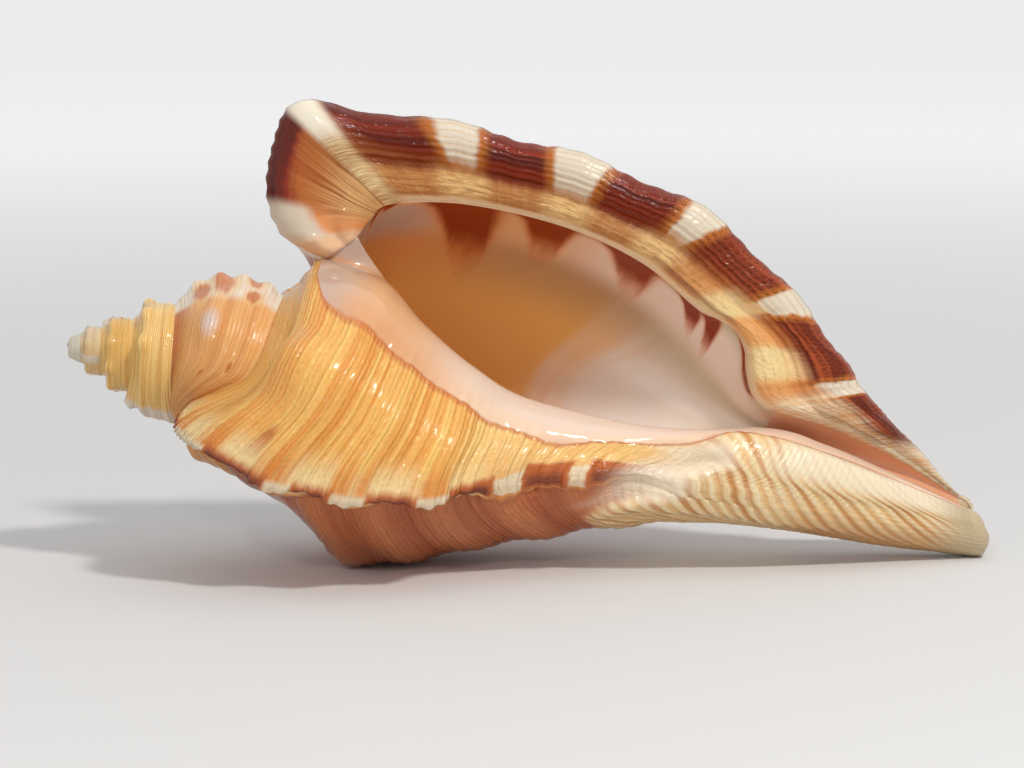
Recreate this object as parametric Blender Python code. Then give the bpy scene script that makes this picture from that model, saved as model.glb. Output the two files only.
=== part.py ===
"""A triton's shell, right-handed, lying on its side with the mouth toward -Y.

Everything is measured from the shell's own axis: a is the distance along it from the tip of the
spire, r the distance from it, and phi the angle of growth round it, 0 at the top of the last
whorl, 90 toward the mouth's side.  The last whorl runs from phi 0 to 360, where it ends in the
flared lip.  Lengths in the tables are millimetres.
"""
import bmesh
import bpy
import numpy as np

MM = 0.001

# How the shell lies.
AXIS_DIP_DEG = 11.9         # the canal end lies lower than the spire
ROLL_DEG = 8.0              # the mouth looks a little upward
CANAL_BEND = 8.0            # the canal curves back, away from the mouth, this far at its tip
CANAL_BEND_FROM = 78.0
CANAL_BEND_OVER = 43.0
TIP_NOSE = 2.3
LIP_TIP_LAG = 38.0          # degrees by which the lip falls behind at the canal's tip
SPIRE_LIFT = [(0, 0), (7.8, 0.9), (15.7, 1.7), (22.2, 1.2), (30.7, 0), (31.7, 0)]

# Rows of the surface in one third of a turn.  They crowd round each varix.
THIRD = (0, 3.5, 8, 14, 24, 36, 50, 65, 80, 94, 106, 114)
FIRST_PHI = -1920
APEX_PHI = -1560            # from here on each whorl sits on the one before
APEX_POINT = 0.5            # nearer to the tip than this the whorls are worn to a point
COLUMNS_BAND = 9            # across a spire whorl, from suture to suture
COLUMNS_BODY = 4            # across each stretch of the body whorl
COLUMNS_CANAL = 3           # across each stretch of the canal

# The suture, where each whorl joins the one before: (phi, a, r).
SUTURE = [
    (-1560, 0.0, 0.0), (-1500, 0.5, 0.9), (-1440, 1.3, 1.6), (-1320, 2.1, 2.0),
    (-1200, 2.9, 2.4), (-1080, 3.9, 2.7), (-900, 5.5, 3.5), (-720, 7.6, 4.2),
    (-540, 9.8, 5.2), (-360, 12.7, 6.5), (-270, 14.4, 7.4), (-180, 16.5, 8.6),
    (-90, 20.3, 10.2), (0, 26.1, 11.5), (60, 26.1, 12.0), (90, 24.8, 12.0),
    (104, 21.7, 11.5), (125, 18.0, 10.2), (140, 17.5, 10.2), (165, 22.9, 12.0),
    (195, 26.8, 13.1), (270, 28.5, 14.6), (330, 29.8, 16.3), (360, 30.7, 17.9)]

# Profiles of the last whorl at six angles: (a, r) at knots 1 to 11.  Knot 0 is the suture,
# 2 the line the next whorl would follow, 3 the shoulder, 8 the start of the canal, 11 its tip.
BODY = {
    0: [(28.4, 13.9), (30.7, 17.9), (39.2, 16.7), (45.5, 11.2), (52.3, 6.7), (60.1, 3.9),
        (74.5, 4.3), (91.5, 8.2), (100.0, 7.7), (109.3, 5.9), (120.3, 3.3)],
    90: [(27.7, 14.6), (30.3, 16.7), (37.2, 19.2), (44.4, 17.4), (52.3, 13.1), (60.1, 8.6),
         (71.9, 6.3), (86.3, 5.9), (97.2, 5.4), (109.6, 4.5), (121.6, 3.2)],
    120: [(22.9, 13.1), (28.1, 15.7), (34.6, 18.7), (42.5, 17.9), (51.0, 14.9), (58.8, 11.5),
          (69.3, 8.0), (83.6, 5.5), (95.4, 4.7), (108.4, 4.1), (121.9, 3.1)],
    180: [(29.0, 13.7), (33.2, 15.0), (41.6, 19.3), (49.4, 18.4), (57.5, 14.8), (66.0, 11.6),
          (74.5, 8.2), (85.0, 5.2), (96.6, 3.8), (109.0, 3.5), (122.0, 2.9)],
    270: [(30.7, 17.6), (34.2, 20.7), (43.1, 22.7), (53.6, 22.0), (63.4, 19.0), (71.9, 14.6),
          (81.0, 11.2), (90.2, 9.4), (98.9, 8.4), (109.4, 6.8), (121.2, 3.9)],
    360: [(31.4, 21.6), (34.2, 27.2), (46.4, 31.1), (60.4, 31.0), (72.1, 28.4), (82.1, 23.3),
          (90.2, 16.7), (96.1, 13.1), (103.3, 10.5), (110.8, 8.2), (119.6, 5.7)]}

# Where the rim of the last varix (the skirt, phi 120) and of the lip (phi 360) stand, and the
# inner edges of the lip and of the inner lip at the mouth: (knot, a, height).
SKIRT_PHI = 120.0
SKIRT_RIM = [(0, 18.0, 10.2), (0.5, 17.2, 14.8), (1, 17.6, 18.6), (2, 21.4, 21.3),
             (3, 30.3, 23.8), (4, 40.3, 23.7), (5, 50.7, 20.0), (6, 59.1, 12.0),
             (7, 69.3, 9.1), (8, 83.6, 6.1), (9, 95.4, 4.8), (10, 108.4, 4.1), (11, 121.9, 3.1)]
LIP_RIM = [(0, 30.7, 17.9), (0.25, 27.2, 18.2), (0.5, 24.3, 19.1), (0.75, 22.1, 21.9),
           (1, 21.0, 25.5), (1.5, 21.0, 31.3), (1.8, 21.6, 34.6), (2, 23.1, 36.5),
           (2.3, 26.8, 37.6), (3, 43.5, 38.7), (4, 60.8, 38.0), (5, 77.9, 34.4),
           (6, 92.1, 25.9), (7, 100.8, 18.3), (8, 104.3, 15.2), (9, 108.7, 12.4),
           (10, 114.4, 9.9), (11, 119.7, 6.2)]
LIP_EDGE = [(0, 34.2, 21.7), (1, 35.6, 24.8), (2, 37.9, 26.9), (3, 47.3, 28.8), (4, 60.1, 28.6),
            (5, 71.2, 26.1), (6, 80.2, 21.4), (6.3, 82.8, 20.8), (6.6, 85.4, 19.6),
            (6.85, 86.9, 17.6), (7.1, 87.7, 14.9), (7.4, 88.9, 12.4), (7.7, 90.7, 11.0),
            (8, 92.3, 10.6), (9, 100.6, 9.9), (10, 110.0, 7.7), (11, 119.3, 4.5)]
INNER_EDGE = [(2, 34.2, 21.7), (2.25, 35.3, 20.4), (2.5, 36.6, 19.1), (3, 39.3, 16.6),
              (3.5, 42.5, 13.7), (4, 45.6, 11.2), (4.5, 48.9, 9.1), (5, 52.4, 6.7),
              (6, 60.3, 3.9), (7, 74.8, 4.4), (8, 91.6, 8.2), (9, 100.1, 7.7),
              (10, 109.5, 5.9), (11, 120.3, 3.3)]
# The front face of the lip from rim to inner edge: (share of the way, how far forward).
LIP_FACE = [(0, 0), (0.1, 1.5), (0.28, 2.2), (0.45, 1.6), (0.6, 0.5), (0.75, 0.9), (0.88, 0.7), (1, -0.8)]

# Old varices of the spire: where each stands, and how far it flares like a small skirt.
VARIX_RISE = 42             # degrees over which each one rises
VARIX_FALL = 13             # and falls
OLD_VARICES = [(-120, 0.15), (-350, 0.1), (-560, 0.9), (-840, 0.6), (-1080, 0.5), (-1320, 0.3)]
# How far a whorl swells between its sutures, as a share of the chord: the younger whorls, the
# shouldered older ones, and a varix that flares fully.
BAND_BULGE = [(0, 0), (0.12, 0.05), (0.35, 0.14), (0.6, 0.14), (0.85, 0.08), (1, 0)]
OLDER_BULGE = [(0, 0), (0.2, 0.06), (0.42, 0.24), (0.52, 0.23), (0.7, 0.15), (0.88, 0.09), (1, 0)]
VARIX_BULGE = [(0, 0), (0.05, 0.24), (0.1, 0.36), (0.25, 0.3), (0.5, 0.2), (0.75, 0.1), (1, 0)]
SPIRE_KNOBS = [*range(-1520, -620, 40), -480, -420, -297, -180, -60]

# Spiral cords, and knobs on the shoulder: (phi, knot, height).
CORD_HEIGHT = 1.5
KNOBS = [(75, 2.2, 1.3), (180, 3.0, 1.0), (225, 3.0, 4.6), (265, 3.0, 1.8), (305, 3.0, 1.6)]
FASCIOLE_HEIGHT = 1.9
# The near edge of the fold that old canals left along the canal: (phi, knot).
CANAL_FOLD = [(0, 7.5), (25, 7.55), (40, 7.6), (60, 7.68), (80, 7.8), (105, 7.75), (121, 7.65),
              (136, 7.5), (147, 7.05), (165, 6.8), (360, 6.8)]
SEAM_HEIGHT = 0.5           # the roll beside the suture, behind the skirt

# The inner lip's callus: (knot, phi of its outer margin, thickness).
CALLUS = [(2, 30, 0.6), (2.3, 47, 0.9), (3, 57, 0.9), (4, 67, 0.8), (5, 76, 0.9), (6, 88, 1.3),
          (6.5, 92, 1.5), (7, 80, 1.3), (7.5, 52, 1.0), (8, 34, 0.8), (9, 30, 0.7),
          (10, 26, 0.5), (11, 20, 0.3)]

# The hollow: angles back from the mouth, and the wall's thickness.
HOLLOW_BACK = (0, 8, 18, 30, 43, 57, 73, 90, 107, 124, 142, 160, 178, 190, 200)
MOUTH_ROWS = 4              # the first rows, that run down into the canal's groove
WALL = 2.4
GROOVE_DEPTH = [(8, 4.6), (9, 3.2), (10, 1.7), (11, 0.5)]


def curve(xs, ys, x):
    """A smooth curve through the points, read at x."""
    xs = np.asarray(xs, float)
    ys = np.asarray(ys, float).reshape(len(xs), -1)
    x = np.atleast_1d(np.asarray(x, float))
    slope = np.empty_like(ys)
    slope[1:-1] = (ys[2:] - ys[:-2]) / (xs[2:] - xs[:-2])[:, None]
    slope[0] = (ys[1] - ys[0]) / (xs[1] - xs[0])
    slope[-1] = (ys[-1] - ys[-2]) / (xs[-1] - xs[-2])
    i = np.clip(np.searchsorted(xs, x, side="right") - 1, 0, len(xs) - 2)
    step = (xs[i + 1] - xs[i])[:, None]
    t = np.clip((x - xs[i])[:, None] / step, 0, 1)
    return ((2 * t**3 - 3 * t**2 + 1) * ys[i] + (t**3 - 2 * t**2 + t) * step * slope[i]
            + (3 * t**2 - 2 * t**3) * ys[i + 1] + (t**3 - t**2) * step * slope[i + 1])


def table(rows, x, column=1):
    rows = np.array(rows, float)
    return curve(rows[:, 0], rows[:, column], x)[:, 0]


def ease(x, low, high):
    t = np.clip((np.asarray(x, float) - low) / (high - low), 0, 1)
    return t * t * (3 - 2 * t)


KNOTS = np.arange(12.0)


def suture(phi):
    rows = np.array(SUTURE, float)
    return curve(rows[:, 0], rows[:, 1:], phi)


def body_profile(phi, s):
    """(a, r) of the last whorl without its varices, rows by columns."""
    keys = sorted(BODY)
    flat = np.array([np.ravel(BODY[k]) for k in keys], float)
    rows = curve(keys, flat, phi).reshape(len(phi), 11, 2)
    rows = np.concatenate([suture(phi)[:, None, :], rows], axis=1)
    return np.stack([curve(KNOTS, row, s) for row in rows])


def varix_swell(phi):
    """How high the nearest old varix stands, 0 to 1, and how much of a flare it has."""
    swell = np.zeros_like(phi)
    flare = np.zeros_like(phi)
    for at, reach in OLD_VARICES:
        before = np.clip(1 - (at - phi) / VARIX_RISE, 0, 1)**1.6
        after = np.clip(1 - (phi - at) / VARIX_FALL, 0, 1)
        w = np.where(phi <= at, before, after)
        swell = np.maximum(swell, w)
        flare = np.maximum(flare, w * reach)
    return swell, flare


def spire_profile(phi, s):
    """(a, r) of the spire's whorls from each suture to the next, rows by columns."""
    start = suture(phi)
    start[phi <= APEX_PHI] = 0
    chord = suture(phi + 360) - start
    out = np.stack([-chord[:, 1], chord[:, 0]], axis=1)
    v = s / 2
    swell, flare = varix_swell(phi)
    older = 1 - ease(phi, -560, -400)[:, None]
    bulge = (1 - older) * table(BAND_BULGE, v) * (1 + 0.2 * swell[:, None])
    bulge = bulge + older * table(OLDER_BULGE, v)
    bulge = bulge + flare[:, None] * (table(VARIX_BULGE, v) - bulge)
    spire = start[:, None] + chord[:, None] * v[None, :, None] + out[:, None] * bulge[..., None]
    # toward phi 0 it takes on the shape with which the last whorl begins
    first = body_profile(np.array([0.0]), s)[0]
    c = first[-1] - first[0]
    along = (first - first[0]) @ c / (c @ c)
    off = (first - first[0]) @ np.array([-c[1], c[0]]) / (c @ c)
    last = (start[:, None] + chord[:, None] * along[None, :, None]
            + out[:, None] * off[None, :, None])
    w = ease(phi, -55, 0)[:, None, None]
    return spire * (1 - w) + last * w


def flared(phi, s):
    """(a, r) of the last whorl with the skirt varix and the lip flared out."""
    base = body_profile(phi, s)
    plain = body_profile(np.array([SKIRT_PHI, 360.0]), s)
    skirt = rim_of(SKIRT_RIM, s) - plain[0]
    lip = rim_of(LIP_RIM, s) - plain[1]
    rise = np.clip((phi - 62) / 58, 0, 1)**1.7
    fall = np.clip(1 - (phi - SKIRT_PHI) / 9, 0, 1)**1.3
    at_skirt = np.where(phi <= SKIRT_PHI, rise, fall)
    at_lip = np.clip((phi - 308) / 52, 0, 1)**1.8
    return (base + at_skirt[:, None, None] * skirt[None] + at_lip[:, None, None] * lip[None])


def rim_of(rows, s):
    """(a, height) along a rim given at some knots."""
    rows = np.array(rows, float)
    return curve(rows[:, 0], rows[:, 1:], s)


def place(a, height, depth):
    """A point of the shell's own frame, with the canal curved back and the spire lifted."""
    t = np.clip((a - CANAL_BEND_FROM) / CANAL_BEND_OVER, 0, 1.1)
    lift = table(SPIRE_LIFT, np.ravel(a)).reshape(np.shape(a))
    return np.stack([a, height + lift, depth - CANAL_BEND * t**1.7], axis=-1)


def turn(profile, phi):
    """Rows of (a, r) at angles phi (rows, or rows by columns) as points."""
    angle = np.radians(phi if np.ndim(phi) == 2 else phi[:, None])
    return place(profile[..., 0], profile[..., 1] * np.cos(angle), profile[..., 1] * np.sin(angle))


def raise_by(grid, height):
    """Moves each point of a grid outward along the surface's normal."""
    across = np.gradient(grid, axis=1)
    along = np.gradient(grid, axis=0)
    normal = np.cross(along, across)
    normal /= np.maximum(np.linalg.norm(normal, axis=-1, keepdims=True), 1e-9)
    return grid + normal * height[..., None]


def callus_height(phi, s):
    rows = np.array(CALLUS)
    edge = curve(rows[:, 0], rows[:, 1], s)[:, 0]
    thick = curve(rows[:, 0], rows[:, 2], s)[:, 0] * ease(s, 1.99, 2.6)
    within = np.clip(1 - phi[:, None] / edge[None, :], 0, 1)**0.5
    return within * thick[None, :] * ease(phi, 4, 40)[:, None]


def bump(x, width):
    """1 at 0, falling smoothly to 0 at the given distance."""
    t = np.clip(1 - (x / width)**2, 0, 1)
    return t * t


def body_relief(phi, s):
    """Spiral cords, shoulder knobs and the folds of the old canal on the last whorl."""
    phi = phi[:, None]
    s = s[None, :]
    swell = (0.35 + 0.5 * ease(phi, 70, 118) * (phi < 128) + 0.45 * ease(phi, 315, 356))
    wave = 0.5 + 0.5 * np.cos(2 * np.pi * s)
    cords = CORD_HEIGHT * (wave - 0.4) * ease(s, 2.1, 2.8) * (1 - ease(s, 7.2, 8.2))
    relief = cords * swell * ease(phi, 25, 60)
    for at, knot, height in KNOBS:
        relief = relief + height * bump(phi - at, 21) * bump(s - knot, 0.85)
    past = s - table(CANAL_FOLD, phi[:, 0])[:, None]
    along = ease(phi, 16, 42) * (1 - ease(phi, 135, 168))
    canal = FASCIOLE_HEIGHT * ease(past, -0.12, 0.3) * (1 - ease(s, 8.7, 10.6)) * along
    valley = -1.1 * bump(past + 0.05, 0.35) * bump(phi - 84, 34)
    seam = SEAM_HEIGHT * bump(s - 0.5, 0.55) * ease(phi, 126, 140) * (1 - ease(phi, 205, 235))
    return relief + canal + valley + seam


def spire_relief(phi, v):
    """Knobs on the shoulder and cords on the spire's whorls; v runs from suture to suture."""
    swell = varix_swell(phi)[0][:, None]
    phi = phi[:, None]
    v = v[None, :]
    size = 2.0**(phi / 360)
    relief = 0.0
    for at in SPIRE_KNOBS:
        if min(abs(at - varix) for varix, _ in OLD_VARICES) < 15:
            continue
        high, wide = (2.2, 15) if at < -620 else (1.1, 21)
        relief = relief + high * size * bump(phi - at, wide) * bump(v - 0.44, 0.24)
    cords = (0.3 + 1.1 * swell) * size * (0.5 + 0.5 * np.cos(2 * np.pi * v * 4.5))
    relief = relief + cords * ease(v, 0.02, 0.16) * (1 - ease(v, 0.88, 1))
    return relief * ease(phi, -1620, -1440)


def angles(first, last):
    steps = [k * 120.0 + t for k in range(first // 120, last // 120) for t in THIRD]
    return np.array(steps + [float(last)])


def knots():
    band = np.linspace(0, 2, COLUMNS_BAND + 1)
    body = np.linspace(2, 8, 6 * COLUMNS_BODY + 1)[1:]
    canal = np.linspace(8, 11, 3 * COLUMNS_CANAL + 1)[1:]
    return np.concatenate([band, body, canal])


def shell_parts():
    """The grids the shell is made of, in its own frame."""
    s = knots()
    band = COLUMNS_BAND
    last = angles(0, 360)
    spire = angles(FIRST_PHI, 0)[:-1]
    n = len(last) - 1
    body = flared(last, s)
    phi = last[:, None] - (28 * ease(s, 5, 8.5)[None, :]
                           * np.exp(-((last - 112) / 40)**2)[:, None])
    phi = phi - LIP_TIP_LAG * ease(s, 8, 11)[None, :] * ease(last, 250, 360)[:, None]
    outer = raise_by(turn(body, phi), callus_height(last, s) + body_relief(last, s))
    upper = turn(spire_profile(spire, s[:band + 1]), spire)
    upper = raise_by(upper, spire_relief(spire, s[:band + 1] / 2))
    joints = suture(np.concatenate([spire + 360]))
    upper[:, band] = turn(joints[:, None], spire)[:, 0]
    return s, band, n, last, spire, outer, upper


def lip_face(outer, s, rows):
    """From the rim to the lip's inner edge."""
    edge = rim_of(LIP_EDGE, s)
    edge = place(edge[:, 0], edge[:, 1], -0.6 * ease(s, 0, 2) - 2.6 * ease(s, 8, 11))
    rim = outer[-1]
    width = np.linalg.norm(edge - rim, axis=1)
    face = []
    for t in np.linspace(0, 1, rows + 1):
        forward = table(LIP_FACE, t)[0] * np.clip(width / 9.0, 0, 1)
        p = rim * (1 - t) + edge * t
        p[:, 2] += forward
        face.append(p)
    face = np.array(face)
    face[0] = rim
    return face


def inner_face(outer, face, s, band, rows):
    """From the last whorl's start over the crest of the inner lip."""
    own = s[band:]
    edge = rim_of(INNER_EDGE, own)
    start = outer[0, band:]
    edge = place(edge[:, 0], edge[:, 1], -0.22 * edge[:, 1] * ease(own, 2, 3.5))
    out = []
    for g in range(rows + 1):
        t = g / rows
        p = start * (1 - t) + edge * t
        out.append(p)
    out = np.array(out)
    out[:, 0] = face[:, 0]
    return out


def mesh_arrays():
    s, band, n, last, spire, outer, upper = shell_parts()
    rows = 8
    face = lip_face(outer, s, rows)
    inner = inner_face(outer, face, s, band, rows)
    canal = band + 6 * COLUMNS_BODY
    points = []
    faces = []

    def add(p):
        points.append(p)
        return len(points) - 1

    def add_grid(g):
        return np.array([[add(p) for p in row] for row in g])

    def skin(ids):
        for i in range(len(ids) - 1):
            for j in range(len(ids[0]) - 1):
                f = [ids[i][j], ids[i][j + 1], ids[i + 1][j + 1], ids[i + 1][j]]
                f = [v for k, v in enumerate(f) if v != f[k - 1]]
                if len(f) > 2:
                    faces.append(f)

    # spire and last whorl
    per_turn = 3 * len(THIRD)
    up = add_grid(upper)
    out = add_grid(outer)
    up[0, :] = up[0, 0]
    for i in range(len(up)):
        up[i, 0] = up[0, 0] if i < per_turn else up[i - per_turn, band]
    for i in range(n + 1):
        k = len(up) + i - per_turn
        out[i, 0] = up[k, band] if k < len(up) else out[0, band]
    worn = np.linalg.norm(upper - upper[0, 0], axis=-1) < APEX_POINT
    up[worn] = up[0, 0]
    skin(np.vstack([up, out[:1, :band + 1]]))
    skin(out)

    # lip, inner lip
    front = add_grid(face)
    front[0] = out[n]
    side = add_grid(inner)
    side[0] = out[0, band:]
    side[:, 0] = front[:, 0]
    skin(front)
    skin(side)

    # hollow
    loops_o, loops_i, groove = hollow(s, band, canal, face, inner, outer)
    m = MOUTH_ROWS
    co = add_grid(loops_o)
    ci = add_grid(loops_i)
    gr = add_grid(groove)
    co[0] = front[-1, :canal + 1]
    ci[0] = side[-1, :canal - band + 1]
    gr[0] = front[-1, canal:]
    gr[-1] = side[-1, canal - band:]
    ci[:, 0] = co[:, 0]
    for d in range(len(co)):
        if d >= m:
            ci[d, -1] = co[d, -1]
        if d <= m:
            gr[d, 0] = co[d, -1]
            gr[len(gr) - 1 - d, 0] = ci[d, -1]
    skin(co)
    skin(ci)
    skin(gr)
    end = list(co[-1]) + list(ci[-1][::-1])[1:-1]
    centre = add(np.mean([points[v] for v in end], axis=0))
    for k, v in enumerate(end):
        faces.append([v, end[k - 1], centre])

    # the canal's blunt tip: a smaller ring in front of its end, then a point
    ring = list(out[:, -1]) + list(front[1:, -1]) + list(gr[1:, -1]) + list(side[::-1, -1])[1:-1]
    ring = [v for k, v in enumerate(ring) if v != ring[k - 1]]
    middle = np.mean([points[v] for v in out[3:-3, -1]], axis=0)
    nose = []
    for v in ring:
        p = middle + (points[v] - middle) * [0, 0.88, 0.88]
        p[0] = points[v][0] + TIP_NOSE * 0.7
        nose.append(add(p))
    middle = add(middle + [TIP_NOSE, 0, 0])
    for k, v in enumerate(ring):
        faces.append([v, ring[k - 1], nose[k - 1], nose[k]])
        faces.append([nose[k], nose[k - 1], middle])
    return np.array(points), faces


def hollow(s, band, canal, face, inner, outer):
    """The mouth's cavity, row by row back into the shell, and the canal's groove."""
    back = np.array(HOLLOW_BACK, float)
    m = MOUTH_ROWS
    so = s[:canal + 1]
    si = s[band:canal + 1]
    mouth_o = face[-1, :canal + 1]
    mouth_i = inner[-1, :canal - band + 1]
    start = body_profile(np.array([0.0]), si)[0]
    rows_o = []
    rows_i = []
    for d, delta in enumerate(back):
        phi = np.array([360 - delta])
        shrink = 1 - 0.12 * ease(delta, 20, 70)
        wall = body_profile(phi, so * shrink)[0]
        tangent = np.gradient(wall, axis=0)
        tangent /= np.linalg.norm(tangent, axis=1, keepdims=True)
        wall = wall + np.stack([tangent[:, 1], -tangent[:, 0]], axis=1) * WALL
        joint = suture(phi)[0]
        joint = joint + [2.2, 1.6 - 2.4 * float(ease(delta, 90, 150))]
        joint[0] = max(joint[0], 30.2)
        k = ease(so, 0.0, 1.6)[:, None]
        wall = joint * (1 - k) + wall * k
        wall = np.where(so[:, None] < 2, np.maximum(wall, joint), wall)
        outer_row = turn(wall[None], phi)[0]
        f = 0.56**(delta / 360)
        under = joint + (start - start[0]) * f
        under[:, 1] -= 3.2 * ease(si, 2.0, 3.2)
        end = wall[-1]
        k = ease(si, 5.0, 8.0)[:, None]
        under = under * (1 - k) + end * k
        under[:, 1] = np.maximum(under[:, 1], 2.6 * f + (end[1] - 2.6 * f) * k[:, 0])
        lag = 15 * ease(si, 2, 4) * (1 - ease(delta, 50, 120))
        inner_row = turn(under[None], -(delta + lag)[None])[0]
        w = ease(delta, 0, 40)
        base_o = mouth_o + (turn(wall[None], phi)[0] - mouth_o) * w
        base_i = mouth_i + (inner_row - mouth_i) * w
        rows_o.append(outer_row * w + base_o * (1 - w))
        rows_i.append(inner_row * w + base_i * (1 - w))
    rows_o = np.array(rows_o)
    rows_i = np.array(rows_i)
    # the groove: from the lip's edge down and up to the inner lip
    cols = s[canal:]
    lip = face[-1, canal:]
    crest = inner[-1, canal - band:]
    depth = table(GROOVE_DEPTH, cols)
    groove = []
    for t in np.linspace(0, np.pi, 2 * m + 1):
        w = (1 - np.cos(t)) / 2
        p = lip * (1 - w) + crest * w
        p[:, 1] -= 0.45 * depth * np.sin(t)
        p[:, 2] -= depth * np.sin(t)
        groove.append(p)
    groove = np.array(groove)
    # the first rows end on the groove's first section
    for d in range(m + 1):
        for rows, target in ((rows_o, groove[d, 0]), (rows_i, groove[2 * m - d, 0])):
            shift = target - rows[d, -1]
            k = ease(np.linspace(0, 1, rows.shape[1]), 0.55, 1)
            rows[d] += shift * k[:, None]
    gap = groove[m, 0]
    for d in range(m + 1, len(back)):
        fade = 1 - ease(back[d], back[m], back[m] + 60)
        shift = (gap - rows_o[m, -1]) * fade
        k = ease(np.linspace(0, 1, rows_o.shape[1]), 0.55, 1)
        rows_o[d] += shift * k[:, None]
    return rows_o, rows_i, groove


def to_world(p):
    """Lays the shell down: axis along +X and dipping, mouth toward -Y, feet on the ground."""
    dip = np.radians(AXIS_DIP_DEG)
    roll = np.radians(ROLL_DEG)
    x = p[:, 0] * np.cos(dip) + p[:, 1] * np.sin(dip)
    up = -p[:, 0] * np.sin(dip) + p[:, 1] * np.cos(dip)
    toward = p[:, 2]
    y = -toward * np.cos(roll) + up * np.sin(roll)
    z = toward * np.sin(roll) + up * np.cos(roll)
    q = np.stack([x, y, z], axis=1)
    low = q.min(axis=0)
    high = q.max(axis=0)
    q[:, :2] -= (low[:2] + high[:2]) / 2
    q[:, 2] -= low[2]
    return q


def clear_scene():
    for obj in list(bpy.data.objects):
        bpy.data.objects.remove(obj, do_unlink=True)


def glossy(name, colour):
    material = bpy.data.materials.new(name)
    material.use_nodes = True
    shader = material.node_tree.nodes["Principled BSDF"]
    shader.inputs["Base Color"].default_value = (*colour, 1)
    shader.inputs["Roughness"].default_value = 0.3
    return material


def main():
    clear_scene()
    points, faces = mesh_arrays()
    points = to_world(points) * MM
    mesh = bpy.data.meshes.new("triton_shell")
    mesh.from_pydata([tuple(p) for p in points], [], [[int(v) for v in f] for f in faces])
    bm = bmesh.new()
    bm.from_mesh(mesh)
    loose = [v for v in bm.verts if not v.link_faces]
    bmesh.ops.delete(bm, geom=loose, context="VERTS")
    bmesh.ops.recalc_face_normals(bm, faces=bm.faces)
    bm.to_mesh(mesh)
    bm.free()
    shell = bpy.data.objects.new("triton_shell", mesh)
    bpy.context.scene.collection.objects.link(shell)
    mesh.materials.append(glossy("shell", (0.72, 0.38, 0.14)))
    for polygon in mesh.polygons:
        polygon.use_smooth = True


main()
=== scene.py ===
"""The looks of a triton's shell: its fine relief and its colours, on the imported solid's frame.

Lengths are millimetres in the shell's own frame until to_frame() lays it down: a runs along the
axis from the tip of the spire, r away from it, and phi is the angle of growth, 0 at the top of the
last whorl and 90 toward the mouth's side.  A knot counts the lines of growth across a whorl:
0 the suture, 2 to 8 the body, 11 the canal's tip.  A main cord runs along each whole knot.
"""

import bmesh
import bpy
import numpy as np
from mathutils import Matrix, Vector


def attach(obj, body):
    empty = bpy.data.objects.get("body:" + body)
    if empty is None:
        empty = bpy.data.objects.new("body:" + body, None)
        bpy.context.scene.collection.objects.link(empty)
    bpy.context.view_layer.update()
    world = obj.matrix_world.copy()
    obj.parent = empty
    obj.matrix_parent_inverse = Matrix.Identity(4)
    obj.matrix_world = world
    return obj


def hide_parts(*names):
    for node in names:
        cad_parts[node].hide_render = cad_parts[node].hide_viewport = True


MM = 0.001
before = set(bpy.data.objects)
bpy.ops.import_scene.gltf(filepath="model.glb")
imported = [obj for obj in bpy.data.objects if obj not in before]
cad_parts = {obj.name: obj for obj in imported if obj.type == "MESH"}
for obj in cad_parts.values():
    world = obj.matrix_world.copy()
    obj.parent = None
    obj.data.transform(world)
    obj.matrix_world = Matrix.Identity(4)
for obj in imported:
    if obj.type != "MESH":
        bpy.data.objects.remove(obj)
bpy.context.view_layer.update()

# How the shell lies.
AXIS_DIP_DEG = 11.9         # the canal end lies lower than the spire
ROLL_DEG = 8.0              # the mouth looks a little upward
CANAL_BEND = 8.0            # the canal curves back, away from the mouth, this far at its tip
CANAL_BEND_FROM = 78.0
CANAL_BEND_OVER = 43.0
TIP_NOSE = 2.3
LIP_TIP_LAG = 38.0          # degrees by which the lip falls behind at the canal's tip
SPIRE_LIFT = [(0, 0), (7.8, 0.9), (15.7, 1.7), (22.2, 1.2), (30.7, 0), (31.7, 0)]

# Rows of the surface in one third of a turn.  They crowd round each varix.
THIRD = (0, 3.5, 8, 14, 24, 36, 50, 65, 80, 94, 106, 114, 120)
ROWS_THIRD = 56
FIRST_PHI = -1920
APEX_PHI = -1560            # from here on each whorl sits on the one before
APEX_POINT = 0.5            # nearer to the tip than this the whorls are worn to a point
COLUMNS_BAND = 24           # across a spire whorl, from suture to suture
COLUMNS_BODY = 25           # across each stretch of the body whorl
COLUMNS_CANAL = 20          # across each stretch of the canal
EAR = COLUMNS_BAND          # the column of knot 2, at the ear
CANAL = EAR + 6 * COLUMNS_BODY    # the column of knot 8, where the canal starts
ROWS_LIP = 44
HOLLOW_FINER = 3

# The suture, where each whorl joins the one before: (phi, a, r).
SUTURE = [
    (-1560, 0.0, 0.0), (-1500, 0.5, 0.9), (-1440, 1.3, 1.6), (-1320, 2.1, 2.0),
    (-1200, 2.9, 2.4), (-1080, 3.9, 2.7), (-900, 5.5, 3.5), (-720, 7.6, 4.2),
    (-540, 9.8, 5.2), (-360, 12.7, 6.5), (-270, 14.4, 7.4), (-180, 16.5, 8.6),
    (-90, 20.3, 10.2), (0, 26.1, 11.5), (60, 26.1, 12.0), (90, 24.8, 12.0),
    (104, 21.7, 11.5), (125, 18.0, 10.2), (140, 17.5, 10.2), (165, 22.9, 12.0),
    (195, 26.8, 13.1), (270, 28.5, 14.6), (330, 29.8, 16.3), (360, 30.7, 17.9)]

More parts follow.
